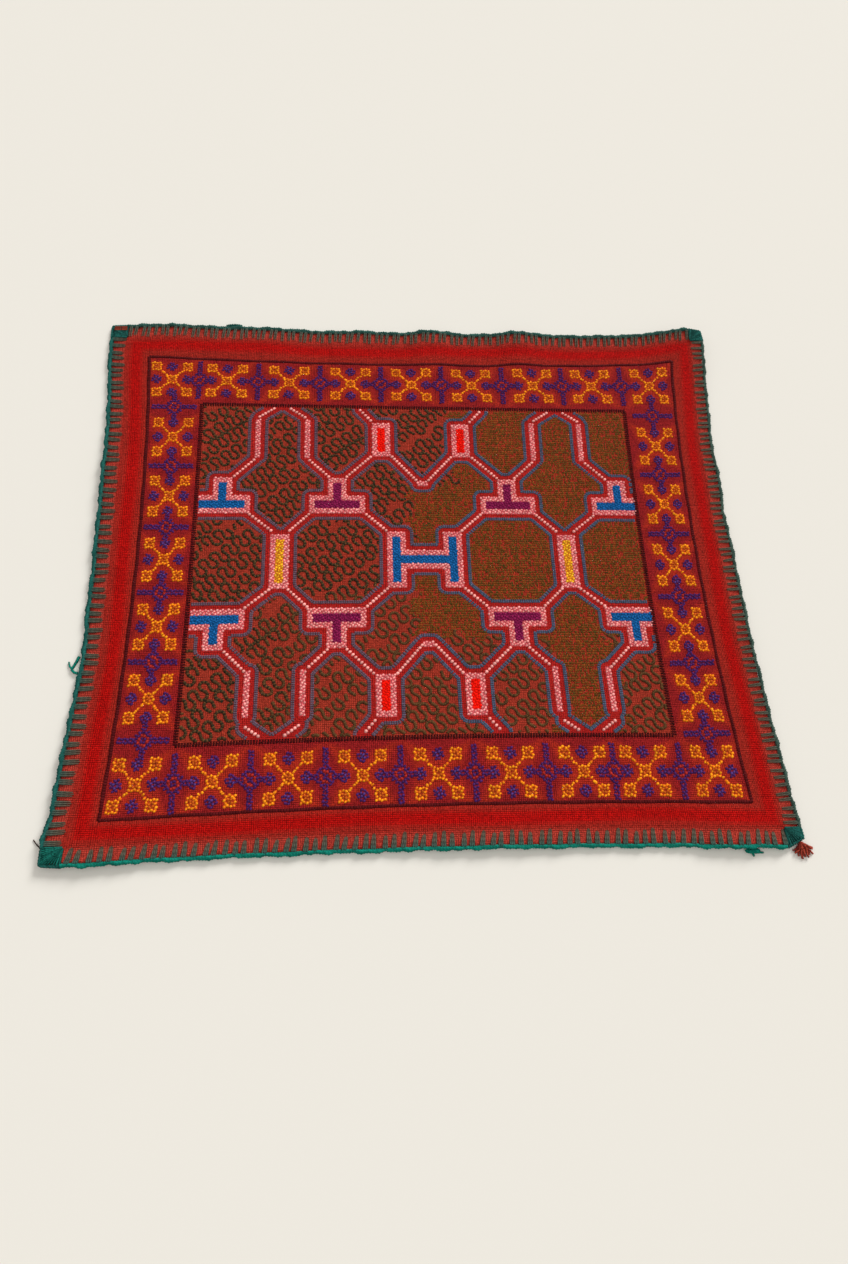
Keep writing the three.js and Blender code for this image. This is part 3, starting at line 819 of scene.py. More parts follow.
class CLOTH_OT_ground(bpy.types.Operator):
    """Make the woven ground cloth with its coloured regions and its folds"""

    bl_idname = "cloth.ground"
    bl_label = "Ground Cloth"

    def execute(self, context):
        columns = grid_lines(GRID_COLUMNS, ("left", "right"), HALF_LENGTH)
        rows = grid_lines(GRID_ROWS, ("front", "back"), HALF_DEPTH)
        marks = [sorted({*range(0, len(lines), LOW_EVERY), len(lines) - 1}) for lines in (columns, rows)]
        s, t = np.meshgrid(columns, rows, indexing="ij")
        low_s, low_t = s[np.ix_(*marks)], t[np.ix_(*marks)]
        points = [on_cloth(s, t, THICKNESS - groove_depth(s, t)), on_cloth(low_s, low_t, 0.0)]
        top = np.arange(s.size).reshape(s.shape)
        low = s.size + np.arange(low_s.size).reshape(low_s.shape)
        faces = grid_faces(top) + grid_faces(low, turned=True)
        faces += hem_faces(top, low, marks[0], True) + hem_faces(top.T, low.T, marks[1], False)
        piece = new_piece("ground_cloth", np.concatenate([part.reshape(-1, 3) for part in points]), faces)
        piece.data.shade_smooth()
        nominal = [np.stack([a.ravel(), b.ravel()], axis=1) for a, b in ((s, t), (low_s, low_t))]
        self.paint(piece.data, np.concatenate(nominal), palette(context))
        piece.data.materials.append(ground_finish(context.scene.cloth_sizes.weave_pitch / MM))
        hand_over(piece, "cloth", "cloth")
        return {"FINISHED"}

    def paint(self, mesh, nominal, colours):
        """Gives each face its region's colour, and the chart place to the UV map."""
        corner_vertex = np.empty(len(mesh.loops), dtype=np.int32)
        mesh.loops.foreach_get("vertex_index", corner_vertex)
        totals = np.empty(len(mesh.polygons), dtype=np.int32)
        mesh.polygons.foreach_get("loop_total", totals)
        corner_place = nominal[corner_vertex]
        starts = np.concatenate([[0], np.cumsum(totals)[:-1]])
        middle = np.add.reduceat(corner_place, starts, axis=0) / totals[:, None]
        shades = np.repeat(region_colours(*middle.T, colours), totals, axis=0)
        keep_on(mesh, "ground", with_alpha(shades), "CORNER")
        half = np.array([HALF_LENGTH, HALF_DEPTH])
        share = (corner_place + half) / (2 * half)
        mesh.uv_layers.new(name="chart").data.foreach_set("uv", share.astype(np.float32).ravel())


# The star band: its stitch's width and height, the line that each side's stars stand on, and where.
STAR_STITCH = (2.46, 2.72)
STAR_ROWS = {"back": 197.3, "front": -202.3, "left": -236.5, "right": 233.6}
STARS_ALONG = {
    "back": (-240.0, -187.0, -127.0, -67.3, -7.6, 52.0, 113.5, 172.6, 234.0),
    "front": (-238.8, -178.1, -118.2, -58.5, 3.0, 62.5, 122.3, 173.5, 234.5),
    "left": (-131.2, -66.4, -1.8, 63.4, 128.2),
    "right": (-137.9, -73.0, -7.7, 57.8, 124.0),
}
STAR_ARM = 19.0
# From the middle of a star: its rings, and the knobs above, below and beside it.
RING_MIDDLES = ((0, 0), (-6, -6), (-6, 6), (6, -6), (6, 6))
KNOB_MIDDLES = ((0, 6), (0, -6), (6, 0), (-6, 0))
# A knob's middle stands out over the rest of it.
KNOB_RAISE = 0.3
# From a cross's middle, its long arms' stitches and the links' first. From a star's, where links end.
ARM_STITCHES = np.arange(3.5, 9.0)
LINK_START = 3.5
LINK_END = 7.2


def diamond(least, most):
    """The stitches of a diamond between two sizes, from its own middle."""
    halves = [k + 0.5 for k in range(-6, 6)]
    return [(a, b) for a in halves for b in halves if least < abs(a) + abs(b) < most]


def repeated(cells, middles):
    """The same stitches round each of some middles."""
    return [(a + x, b + y) for x, y in middles for a, b in cells]


HOLE = diamond(0.0, 1.5)
RING = [(a, b) for a in (-1.5, -0.5, 0.5, 1.5) for b in (-1.5, -0.5, 0.5, 1.5) if max(abs(a), abs(b)) > 1]
STAR_DIAGONALS = [(a * x, a * y) for x in (-1, 1) for y in (-1, 1) for a in (2.2, 3, 3.8)]
# A star is a ring in the middle and at each corner, joined by diagonals.
STAR = repeated(RING, RING_MIDDLES) + STAR_DIAGONALS
STAR_HOLES = repeated(HOLE, RING_MIDDLES)
KNOBS = repeated(diamond(0.0, 3.0), KNOB_MIDDLES)
KNOB_HOLES = repeated(HOLE, KNOB_MIDDLES)
CROSS_HEART = diamond(1.5, 2.5)


def cross_cells(reach):
    """The violet cross between two stars: a diamond, two long arms and two links to the knobs beside it."""
    cells = diamond(2.5, 4.5) + HOLE
    for side in (-1, 1):
        cells += [(a, b * side) for a in (-0.5, 0.5) for b in ARM_STITCHES]
        cells += [(a * side, b) for a in np.arange(LINK_START, reach) for b in (-0.5, 0.5)]
    return sorted(set(cells))


def placed(cells, s, t, upright=True):
    """The nominal places of a motif's stitches round its middle."""
    pairs = np.array(cells if upright else [(b, a) for a, b in cells])
    return s + pairs[:, 0] * STAR_STITCH[0], t + pairs[:, 1] * STAR_STITCH[1]


def star_places():
    """The middles of the stars, round the band."""
    places = [(s, STAR_ROWS[side]) for side in ("back", "front") for s in STARS_ALONG[side]]
    return places + [(STAR_ROWS[side], t) for side in ("left", "right") for t in STARS_ALONG[side]]


def star_distance(s, t):
    """How far places are from the arms of the nearest star, on the band."""
    nearest = np.full(np.shape(s), np.inf)
    for star_s, star_t in star_places():
        a, b = np.abs(s - star_s), np.abs(t - star_t)
        nearest = np.minimum(nearest, np.abs(a - b) * 0.7 + np.maximum(np.maximum(a, b) - STAR_ARM, 0))
    return nearest


def cross_places():
    """The crosses between the stars: middle, whether the arms stand upright, and reach to the knobs."""
    places = []
    for side, row in STAR_ROWS.items():
        across = SIDES[side][0]
        ends = () if across else (STAR_ROWS["front"], STAR_ROWS["back"])
        stars = sorted([*STARS_ALONG[side], *ends])
        for one, other in zip(stars, stars[1:]):
            middle = (one + other) / 2
            reach = (other - one) / 2 / STAR_STITCH[0 if across else 1] - LINK_END
            places.append((middle, row, True, reach) if across else (row, middle, False, reach))
    return places


class CLOTH_OT_star_band(bpy.types.Operator):
    """Stitch the star band: orange stars, violet knobs and crosses"""

    bl_idname = "cloth.star_band"
    bl_label = "Star Band"

    def execute(self, context):
        colours = palette(context)
        stars, knobs, crosses, under = (Stitches() for piece in range(4))
        motifs = (
            (stars, STAR, colours.orange),
            (stars, STAR_HOLES, colours.orange_dark),
            (knobs, KNOBS, colours.violet),
        )
        for place in star_places():
            for stitches, cells, colour in motifs:
                self.work(stitches, under, placed(cells, *place), colour)
            knobs.crosses(*placed(KNOB_HOLES, *place), colours.violet_light, KNOB_RAISE)
        for s, t, upright, reach in cross_places():
            for cells, colour in ((cross_cells(reach), colours.violet), (CROSS_HEART, colours.heart)):
                self.work(crosses, under, placed(cells, s, t, upright), colour)
        stars.lay("orange_stars")
        knobs.lay("violet_knobs")
        crosses.lay("violet_crosses")
        under.lay("band_under_stitches", "under")
        return {"FINISHED"}

    def work(self, stitches, under, places, colour):
        """Cross-stitches, with yarn between and under their tops that is darker with painted shade."""
        stitches.crosses(*places, colour)
        under.strands(*places, math.pi / 4, THICKNESS - 0.1, shaded_under_yarn(colour))


# The lattice's blocks, in columns from the middle and rows: how thick its walls are, how wide its bars,
# and the middle column of each form.
WALL = 2
HALF_BAR = 3
YELLOW_COLUMN = 53
POST_COLUMN = 10
T_COLUMN = 32
BLUE_T_COLUMN = 75
RED_COLUMN = 15
FINGER_COLUMNS = (43, 62)
OUTLINE_DISTANCE = 6.9
# The lattice's diagonals in its right upper quarter, from place to place, over the middle row.
DIAGONALS = (
    (106.0, 106.0, 88.0, 88.0),
    (158.0, 106.0, 175.5, 88.0),
    (46.0, 113.0, 71.0, 88.0),
    (106.0, 47.0, 123.0, 30.0),
    (53.0, 47.0, 35.0, 30.0),
    (160.0, 47.0, 140.0, 30.0),
    (28.0, 111.0, 6.0, 85.0),
    (48.0, 153.0, 58.0, 165.0),
    (111.0, 155.5, 132.5, 171.2),
    (154.0, 155.5, 132.5, 171.2),
)
DIAGONAL_PITCH = 3.5


class Chart(dict):
    """Which yarn each stitch of the panel has, by column and row."""

    def fill(self, kind, first_column, last_column, first_row, last_row):
        for column in range(first_column, last_column + 1):
            for row in range(first_row, last_row + 1):
                self[(column, row)] = kind

    def both(self, kind, middle, half, first_row, last_row):
        """The same block round a column on the right and mirrored on the left."""
        self.fill(kind, middle - half, middle + half, first_row, last_row)
        self.fill(kind, -1 - middle - half, -1 - middle + half, first_row, last_row)

    def walled(self, kind, middle, first_row, last_row):
        """A pink block with a core of another yarn, on both sides."""
        self.both("pink", middle, HALF_BAR, first_row, last_row)
        self.both(kind, middle, HALF_BAR - WALL, first_row + WALL, last_row - WALL)

    def letter_t(self, kind, column, way):
        """A T with its bar towards the middle of the cloth. way is 1 over the middle, -1 under it."""
        for yarn, half, rows in (
            ("pink", 10, (18, 24)),
            ("pink", HALF_BAR, (25, 31)),
            (kind, 8, (20, 22)),
            (kind, 1, (22, 29)),
        ):
            self.both(yarn, column, half, *sorted(row * way for row in rows))


def lattice_chart():
    chart = Chart()
    chart.walled("yellow", YELLOW_COLUMN, -10, 9)
    chart.both("pink", POST_COLUMN, HALF_BAR, -10, 10)
    chart.fill("pink", -POST_COLUMN, POST_COLUMN, -3, 3)
    chart.both("blue", POST_COLUMN, 1, -8, 8)
    chart.fill("blue", -POST_COLUMN, POST_COLUMN, -1, 1)
    for way in (1, -1):
        chart.letter_t("purple", T_COLUMN, way)
        chart.letter_t("blue", BLUE_T_COLUMN, way)
    chart.walled("red", RED_COLUMN, 41, 54)
    chart.walled("red", RED_COLUMN, -54, -41)
    for column in FINGER_COLUMNS:
        for rows in ((40, 55), (-53, -39)):
            chart.fill("pink", column, column + 1, *rows)
            chart.fill("pink", -2 - column, -1 - column, *rows)
    chart.fill("pink", -2, 1, 29, 30)
    chart.fill("pink", -2, 1, -31, -30)
    inside = in_box("panel", *cell_places(list(chart)), 2.0)
    return {cell: kind for (cell, kind), kept in zip(chart.items(), inside) if kept}


def diagonal_places(cells):
    """Places along the lattice's diagonals where no block has a stitch, also past the panel's edge."""
    places = []
    for s0, t0, s1, t1 in DIAGONALS:
        share = np.linspace(0, 1, round(math.hypot(s1 - s0, t1 - t0) / DIAGONAL_PITCH) + 1)
        for side in (-1, 1):
            for way in (-1, 1):
                t = CHART_MIDDLE + way * (t0 + (t1 - t0) * share)
                places.append(np.stack([side * (s0 + (s1 - s0) * share), t]))
    s, t = np.concatenate(places, axis=1)
    free = np.array([place not in cells for place in zip(*chart_cell(s, t))])
    return s[free], t[free]


class Panel:
    """The panel's chart and diagonals, with the distance from them on an even grid of places."""

    STEP = 2.0
    kept = None

    def __init__(self):
        self.cells = lattice_chart()
        worked = np.stack(diagonal_places(self.cells))
        self.diagonals = worked[:, in_box("panel", *worked, 4.0)]
        left, right, front, back = places_of("panel")
        self.s = np.arange(left, right + self.STEP, self.STEP)
        self.t = np.arange(front, back + self.STEP, self.STEP)
        s, t = np.meshgrid(self.s, self.t, indexing="ij")
        nearest = np.full(s.shape, np.inf)
        for one_s, one_t in np.concatenate([cell_places(list(self.cells)), worked], axis=1).T:
            nearest = np.minimum(nearest, (s - one_s) ** 2 + (t - one_t) ** 2)
        self.distance = np.sqrt(nearest)

    @classmethod
    def get(cls):
        if cls.kept is None:
            cls.kept = cls()
        return cls.kept

    def distance_at(self, s, t):
        """The distance from nominal places to the lattice, from the grid's."""
        i = np.clip((s - self.s[0]) / self.STEP, 0, len(self.s) - 1.001)
        j = np.clip((t - self.t[0]) / self.STEP, 0, len(self.t) - 1.001)
        column, row = i.astype(int), j.astype(int)
        i, j = i - column, j - row
        low = self.distance[column, row] * (1 - i) + self.distance[column + 1, row] * i
        high = self.distance[column, row + 1] * (1 - i) + self.distance[column + 1, row + 1] * i
        return low * (1 - j) + high * j

    def outline(self):
        """Places along the outlines, where they cross the grid's lines, and their directions."""
        beyond = self.distance - OUTLINE_DISTANCE
        places = []
        for along_s in (True, False):
            before = beyond[:-1, :] if along_s else beyond[:, :-1]
            after = beyond[1:, :] if along_s else beyond[:, 1:]
            i, j = np.nonzero(before * after < 0)
            step = self.STEP * before[i, j] / (before[i, j] - after[i, j])
            places.append(np.stack([self.s[i] + step * along_s, self.t[j] + step * (not along_s)]))
        s, t = np.concatenate(places, axis=1)
        kept = in_box("panel", s, t, 3.0)
        s, t = s[kept], t[kept]
        slope_s = self.distance_at(s + 1.0, t) - self.distance_at(s - 1.0, t)
        slope_t = self.distance_at(s, t + 1.0) - self.distance_at(s, t - 1.0)
        return s, t, np.arctan2(slope_t, slope_s) + math.pi / 2

    def in_field(self, s, t, margin):
        """Whether places are inside a field, at least a margin in from its outline."""
        return in_box("panel", s, t, 3.0) & (self.distance_at(s, t) > OUTLINE_DISTANCE + margin)


class CLOTH_OT_lattice(bpy.types.Operator):
    """Stitch the pink lattice, its coloured cores and the slate outlines beside it"""

    bl_idname = "cloth.lattice"
    bl_label = "Lattice"

    def execute(self, context):
        colours = palette(context)
        panel = Panel.get()
        walls, slopes, below, cores, outline = (Stitches() for piece in range(5))
        for stitches, kinds in ((walls, ("pink",)), (cores, ("yellow", "blue", "purple", "red"))):
            for kind in kinds:
                cells = [cell for cell, yarn in panel.cells.items() if yarn == kind]
                stitches.crosses(*cell_places(cells), getattr(colours, kind))
        slopes.strands(*panel.diagonals, 0.4, THICKNESS + 0.15, colours.pink_light)
        # Under the diagonals, pink yarn darker with painted shade.
        below.strands(*panel.diagonals, math.pi / 4, THICKNESS - 0.05, shaded_under_yarn(colours.pink))
        s, t, turn = panel.outline()
        shades = mixed(colours.slate, colours.steel, ramp(s, -60.0, 30.0))
        for way in (-0.7, 0.7):
            aside_s, aside_t = way * np.cos(turn + math.pi / 2), way * np.sin(turn + math.pi / 2)
            outline.strands(s + aside_s, t + aside_t, turn, THICKNESS + 0.1, shades)
        walls.lay("pink_lattice")
        slopes.lay("pink_diagonals", "diagonal")
        below.lay("diagonals_under_stitches", "under diagonal")
        cores.lay("lattice_cores")
        outline.lay("slate_outlines", "outline")
        return {"FINISHED"}


# The bold winding lines: their slope in radians, a stroke's length, the spacing and lean of strokes, the
# gap between rows, the reach of all rows from the middle, how far they stray, and how often they break.
WIND_SLOPE = 0.65
WIND_STROKE = 13.8
WIND_SPACING = 6.0
WIND_LEAN = 0.8
WIND_GAP = 2.4
WIND_REACH = 240.0
WIND_STRAY = 0.6
WIND_BREAKS = 0.13
# The fine stitches stand on a grid of this width and height.
FINE_WIDTH = 1.4
FINE_HEIGHT = 2.3


def winding_paths(random):
    """Winding lines in rows on a slope: leaning strokes joined by nearly closed turns."""
    radius = WIND_SPACING / 2 + WIND_LEAN
    straight = WIND_STROKE / 2 - radius
    pitch = WIND_STROKE + WIND_GAP
    rows = int(WIND_REACH * 1.5 / pitch)
    cosine, sine = math.cos(WIND_SLOPE), math.sin(WIND_SLOPE)
    paths = []
    for row in range(-rows, rows + 1):
        start = random.uniform(-2 * WIND_SPACING, 0) - 1.5 * WIND_REACH
        shift = random.uniform(0, 6.28, 4)
        parts = [[]]
        for k in range(int(WIND_REACH * 3 / WIND_SPACING)):
            x = start + k * WIND_SPACING
            way = 1 if k % 2 == 0 else -1
            for share in np.linspace(-1, 1, 7):
                parts[-1].append((x - WIND_LEAN * math.sin(share * math.pi / 2), share * straight * way))
            if random.uniform() < WIND_BREAKS:
                parts.append([])
                continue
            for a in np.linspace(0, math.pi, 9)[1:-1]:
                y = way * (straight + radius * math.sin(a))
                parts[-1].append((x - WIND_LEAN + radius - radius * math.cos(a), y))
        for part in filter(None, parts):
            x, y = np.array(part).T
            y = y + row * pitch
            x = x + WIND_STRAY * np.sin(y / 4.1 + shift[0]) * np.cos(x / 9.0 + shift[1])
            y = y + WIND_STRAY * np.sin(x / 5.3 + shift[2])
            y = y + 1.5 * np.sin(x / 31.0 + shift[3])
            paths.append(np.stack([x * cosine - y * sine, x * sine + y * cosine], axis=1))
    return paths


def along_line(line, step):
    """Even places along a line, with their directions."""
    lengths = np.concatenate([[0.0], np.cumsum(np.hypot(*np.diff(line, axis=0).T))])

    def at(places):
        return np.stack([np.interp(places, lengths, part) for part in np.transpose(line)])

    places = np.arange(step / 2, lengths[-1], step)
    ahead = at(places + step / 3) - at(places - step / 3)
    return *at(places), np.arctan2(ahead[1], ahead[0])


def is_bold(s, t):
    """Whether a place's field has the bold winding line, not the fine one. The change is uneven."""
    s, t = (
        s + 5.0 * np.sin(t / 4.7) + 3.0 * np.sin(t / 1.9),
        t + 4.0 * np.sin(s / 5.3) + 3.0 * np.sin(s / 2.3),
    )
    between_bars = (np.abs(s) < 30) & (np.abs(t - CHART_MIDDLE) > 80)
    front = (t < -80) & ((s < 104) | (s > 162))
    return (s < -12) | between_bars | front


def maze(s, t, random):
    """A value that is nought along thin winding lines about three millimetres apart."""
    value = 0
    for angle in np.arange(6) * math.pi / 6:
        rate = random.uniform(0.6, 1.0)
        place = 1.5 * s * math.cos(angle) + 0.6 * t * math.sin(angle)
        value = value + np.sin(place * rate + random.uniform(0, 6.28))
    return value / 2


class CLOTH_OT_fields(bpy.types.Operator):
    """Stitch the winding dark lines in the fields"""

    bl_idname = "cloth.fields"
    bl_label = "Fields"

    def execute(self, context):
        colours = palette(context)
        panel = Panel.get()
        random = np.random.default_rng(SEED)
        self.bold(panel, colours, random)
        self.fine(panel, colours, random)
        return {"FINISHED"}

    def bold(self, panel, colours, random):
        """The bold lines, green and olive by turns, and more olive in the front fields."""
        dark = Stitches()
        for line in winding_paths(random):
            s, t, turn = along_line(line, 1.5)
            keep = panel.in_field(s, t, 2.2) & is_bold(s, t)
            by_turns = np.arange(len(s))[keep] % 2
            front = 0.7 * ramp(s[keep], -170.0, -90.0) * (t[keep] < -38)
            share = np.clip(by_turns * 0.8 + front + random.uniform(-0.3, 0.4, keep.sum()), 0, 1)
            shades = mixed(colours.green, colours.olive, share)
            dark.strands(s[keep], t[keep], turn[keep], THICKNESS + 0.15, shades)
        dark.lay("winding_lines", "winding")

    def fine(self, panel, colours, random):
        """The fine stitches, turned one way or the other, with the ground bare along a maze of lines."""
        columns = np.arange(-HALF_LENGTH, HALF_LENGTH, FINE_WIDTH)
        s, t = np.meshgrid(columns, np.arange(-HALF_DEPTH, HALF_DEPTH, FINE_HEIGHT))
        s = (s + random.uniform(-0.3, 0.3, s.shape)).ravel()
        t = (t + random.uniform(-0.3, 0.3, t.shape)).ravel()
        keep = panel.in_field(s, t, 1.4) & ~is_bold(s, t) & (np.abs(maze(s, t, random)) > 0.25)
        s, t = s[keep], t[keep]
        shades = mixed(colours.moss, colours.brown, random.uniform(0, 1, len(s)))
        turn = random.choice([0.3, math.pi / 2, math.pi / 2], len(s)) + random.uniform(-0.3, 0.3, len(s))
        fine = Stitches()
        fine.strands(s, t, turn, THICKNESS - 0.05, shades)
        fine.lay("fine_lines", "fine")


class CLOTH_OT_lines(bpy.types.Operator):
    """Stitch the dark seam round the panel and the dark line round the band"""

    bl_idname = "cloth.lines"
    bl_label = "Seam and Band Line"

    def execute(self, context):
        colours = palette(context)
        random = np.random.default_rng(SEED)
        seam, line = Stitches(), Stitches()
        for s, t, turn in self.sides("panel", 2.3):
            inward = turn + math.pi / 2
            for aside, reach in ((-0.9, 0.9), (0.3, 1.1), (1.7, 0.8)):
                shades = mixed(colours.seam, colours.seam_worn, random.uniform(0, 1, len(s)))
                places = s + aside * np.cos(inward), t + aside * np.sin(inward)
                lean = turn + random.uniform(0.3, 1.2, len(s))
                seam.strands(*places, lean, THICKNESS + 0.15, shades, reach)
        for s, t, turn in self.sides("band", 2.2):
            bow = 0.35 * np.sin(s / 9.0 + t / 7.0)
            line.strands(s - bow * np.sin(turn), t + bow * np.cos(turn), turn, THICKNESS - 0.1, colours.line)
        seam.lay("panel_seam", "seam", "dark_thread")
        line.lay("band_line", "band line", "dark_thread")
        return {"FINISHED"}

    def sides(self, line, step):
        """Even places and directions along each side of the band's or the panel's line."""
        left, right, front, back = places_of(line)
        corners = [(left, front), (right, front), (right, back), (left, back)]
        return [along_line(np.array(ends), step) for ends in zip(corners, corners[1:] + corners[:1])]


# Each side's edging: the distance between its stitches, their slant, how far their strands stay apart
# at the tip, the edge yarn's radius, and how worn its colour is.
EDGINGS = {
    "left": (7.6, 0.3, 0.95, 2.1, 0.0),
    "right": (6.2, -0.3, 0.8, 1.7, 0.35),
    "front": (7.6, 1.4, 0.6, 1.9, 0.0),
    "back": (5.8, -1.2, 1.0, 2.1, 0.15),
}
EDGE_STITCH_LENGTH = 11.6
# How unevenly a stitch's place, length and slant follow: the size of a wave, and its turn at each stitch.
UNEVEN = ((0.9, 2.4), (1.2, 1.7), (0.7, 0.9))
# Each kind of yarn: the step between its rings in millimetres, its sides, its plies' depth and its twist.
YARN_KINDS = {
    "edge": (0.8, 9, 0.14, 900.0),
    "stitch": (3.2, 6, 0.0, 0.0),
    "corner": (0.8, 8, 0.14, 900.0),
    "loose": (0.6, 8, 0.14, 900.0),
    "tassel": (0.7, 6, 0.1, 900.0),
}


def side_place(side, along, inward):
    """Nominal places by a side: how far along it, and how far in from the edge."""
    across, outward = SIDES[side]
    along, inward = np.asarray(along, float), np.asarray(inward, float)
    if across:
        return np.broadcast_arrays(along, outward * (HALF_DEPTH - inward))
    return np.broadcast_arrays(outward * (HALF_LENGTH - inward), along)


def beside(side, along, out, height):
    """Points in metres outside a side's edge. height is over the underside."""
    across, outward = SIDES[side]
    points = on_cloth(*side_place(side, along, 0.0), height)
    points[..., 1 if across else 0] += outward * np.asarray(out, float) * MM
    return points


def on_floor(side, along, out, height):
    """Points in metres on the floor beside a side, clear of its edging."""
    points = beside(side, along, 2 * GAP + YARN_WIDTH + np.asarray(out, float), 0.0)
    points[..., 2] = np.asarray(height, float) * MM
    return points


def over_border(side, along, inward, height):
    """Points in metres over the cloth's top by a side."""
    return on_cloth(*side_place(side, along, inward), THICKNESS + np.asarray(height, float))


def lifted(height):
    """A step up, from millimetres."""
    return np.array([0, 0, height * MM])


def through(points, count):
    """A smooth line of evenly shared points through a few points."""
    points = np.asarray(points, float)
    ends = np.concatenate([2 * points[:1] - points[1:2], points, 2 * points[-1:] - points[-2:-1]])
    places = np.linspace(0, len(points) - 1, count)
    index = np.minimum(places.astype(int), len(points) - 2)
    share = (places - index)[:, None]
    a, b, c, d = (ends[index + k] for k in range(4))
    squared = (2 * a - 5 * b + 4 * c - d) * share**2
    return 0.5 * (2 * b + (c - a) * share + squared + (3 * b - a - 3 * c + d) * share**3)


class Yarns:
    """Collects lines of yarn, then spins them as one piece."""

    def __init__(self):
        self.lines = []

    def add(self, points, thick, colour):
        """thick is the radius in millimetres, one number or one for each point."""
        count = len(points)
        radius = np.broadcast_to(np.asarray(thick, float) * MM, count)
        columns = [*np.asarray(points, float).T, radius, *np.broadcast_to(colour, (count, 3)).T]
        self.lines.append(np.stack(columns, axis=1))

    def spin(self, name, kind, slot_name, node):
        """Spins the yarn as one piece of a kind, and puts it on the frame in place of a node."""
        edges = []
        start = 0
        for line in self.lines:
            edges += [(k, k + 1) for k in range(start, start + len(line) - 1)]
            start += len(line)
        points = np.concatenate(self.lines)
        made = guide(points[:, :3], edges, thick=points[:, 3], yarn=with_alpha(points[:, 4:]))
        step, sides, depth, twist = YARN_KINDS[kind]
        settings = {"Step": step * MM, "Sides": sides, "Ply depth": depth, "Twist": twist}
        settings["Material"] = shared_finish("Plied edge yarn", yarn_finish)
        hand_over(yarn_tree().run(name, made, settings), slot_name, node)


def yarn_end(side):
    """How far along a side, from its middle, its edging ends."""
    return (HALF_LENGTH if SIDES[side][0] else HALF_DEPTH) - HEM - GAP


class CLOTH_OT_edging(bpy.types.Operator):
    """Blanket-stitch the four edges: the yarn along each edge and its stitches over the border"""

    bl_idname = "cloth.edging"
    bl_label = "Edging"

    def execute(self, context):
        colours = palette(context)
        for phase, side in enumerate(SIDES):
            rows = self.rows(side, phase)
            edge, stitches = Yarns(), Yarns()
            worn = mixed(colours.teal, colours.teal_worn, EDGINGS[side][4])
            self.run_yarn(edge, side, rows, colours.teal_bright if side == "front" else worn)
            for along, length, slant in rows:
                self.stitch(stitches, side, along, length, slant, colours)
            edge.spin(f"edge_yarn_{side}", "edge", "edge_yarn", f"edging_{side}")
            stitches.spin(f"edge_stitches_{side}", "stitch", "edge_yarn", f"edging_{side}")
        return {"FINISHED"}

    def rows(self, side, phase):
        """Place, length and slant of each stitch of a side."""
        pitch, slant = EDGINGS[side][:2]
        room = 2 * (yarn_end(side) - 3.0)
        count = int(room // pitch)
        index = np.arange(count + 1)
        even = ((index / count - 0.5) * room, EDGE_STITCH_LENGTH, slant)
        waves = [amount * np.sin(index * rate + phase) for amount, rate in UNEVEN]
        return np.stack([part + wave for part, wave in zip(even, waves)], axis=1)

    def run_yarn(self, yarn, side, rows, colour):
        """The yarn along the edge, drawn in a little at each stitch and bulging between them."""
        end = yarn_end(side)
        along = np.arange(-end, end + 0.1, 1.6)
        nearest = np.abs(along[:, None] - rows[None, :, 0]).min(axis=1)
        bulge = np.clip(nearest / (EDGINGS[side][0] / 2), 0, 1)
        uneven = np.sin(along / 2.9) * np.sin(along / 7.3 + 1.0)
        out = GAP + YARN_WIDTH / 2 - 0.7 + 0.6 * bulge + 0.3 * np.sin(along / 11.0) + 0.5 * uneven
        height = 2.1 + 0.15 * np.sin(along / 5.0)
        yarn.add(beside(side, along, out, height), EDGINGS[side][3] + 0.25 * bulge + 0.3 * uneven, colour)

    def stitch(self, yarn, side, along, length, slant, colours):
        """One stitch: strands that run together, from the edge yarn on to the border."""
        narrowing = np.array([0.1, 0.5, 1.0]) * (1 - EDGINGS[side][2])
        share = np.array([0.0, 0.2, 0.5, 0.8, 1.0])
        if side in ("back", "right"):
            share = 0.35 + 0.65 * share
        thick = np.array([0.7, 0.85, 0.85, 0.75, 0.5])
        for aside in (-1.5, 0.0, 1.5) if side in ("left", "front") else (-0.8, 0.8):
            outside = beside(side, [along + 0.8 * aside] * 2, [2.2, 0.6], [2.0, THICKNESS + 1.6])
            inside = over_border(
                side,
                along + aside * (1 - narrowing) + slant * np.array([0.25, 0.6, 1.0]),
                [2.2, 0.55 * length, length - 0.5 * abs(aside)],
                [0.6, 0.4, 0.05],
            )
            points = np.concatenate([outside, inside])
            yarn.add(points, thick, mixed(colours.teal, colours.teal_worn, share))


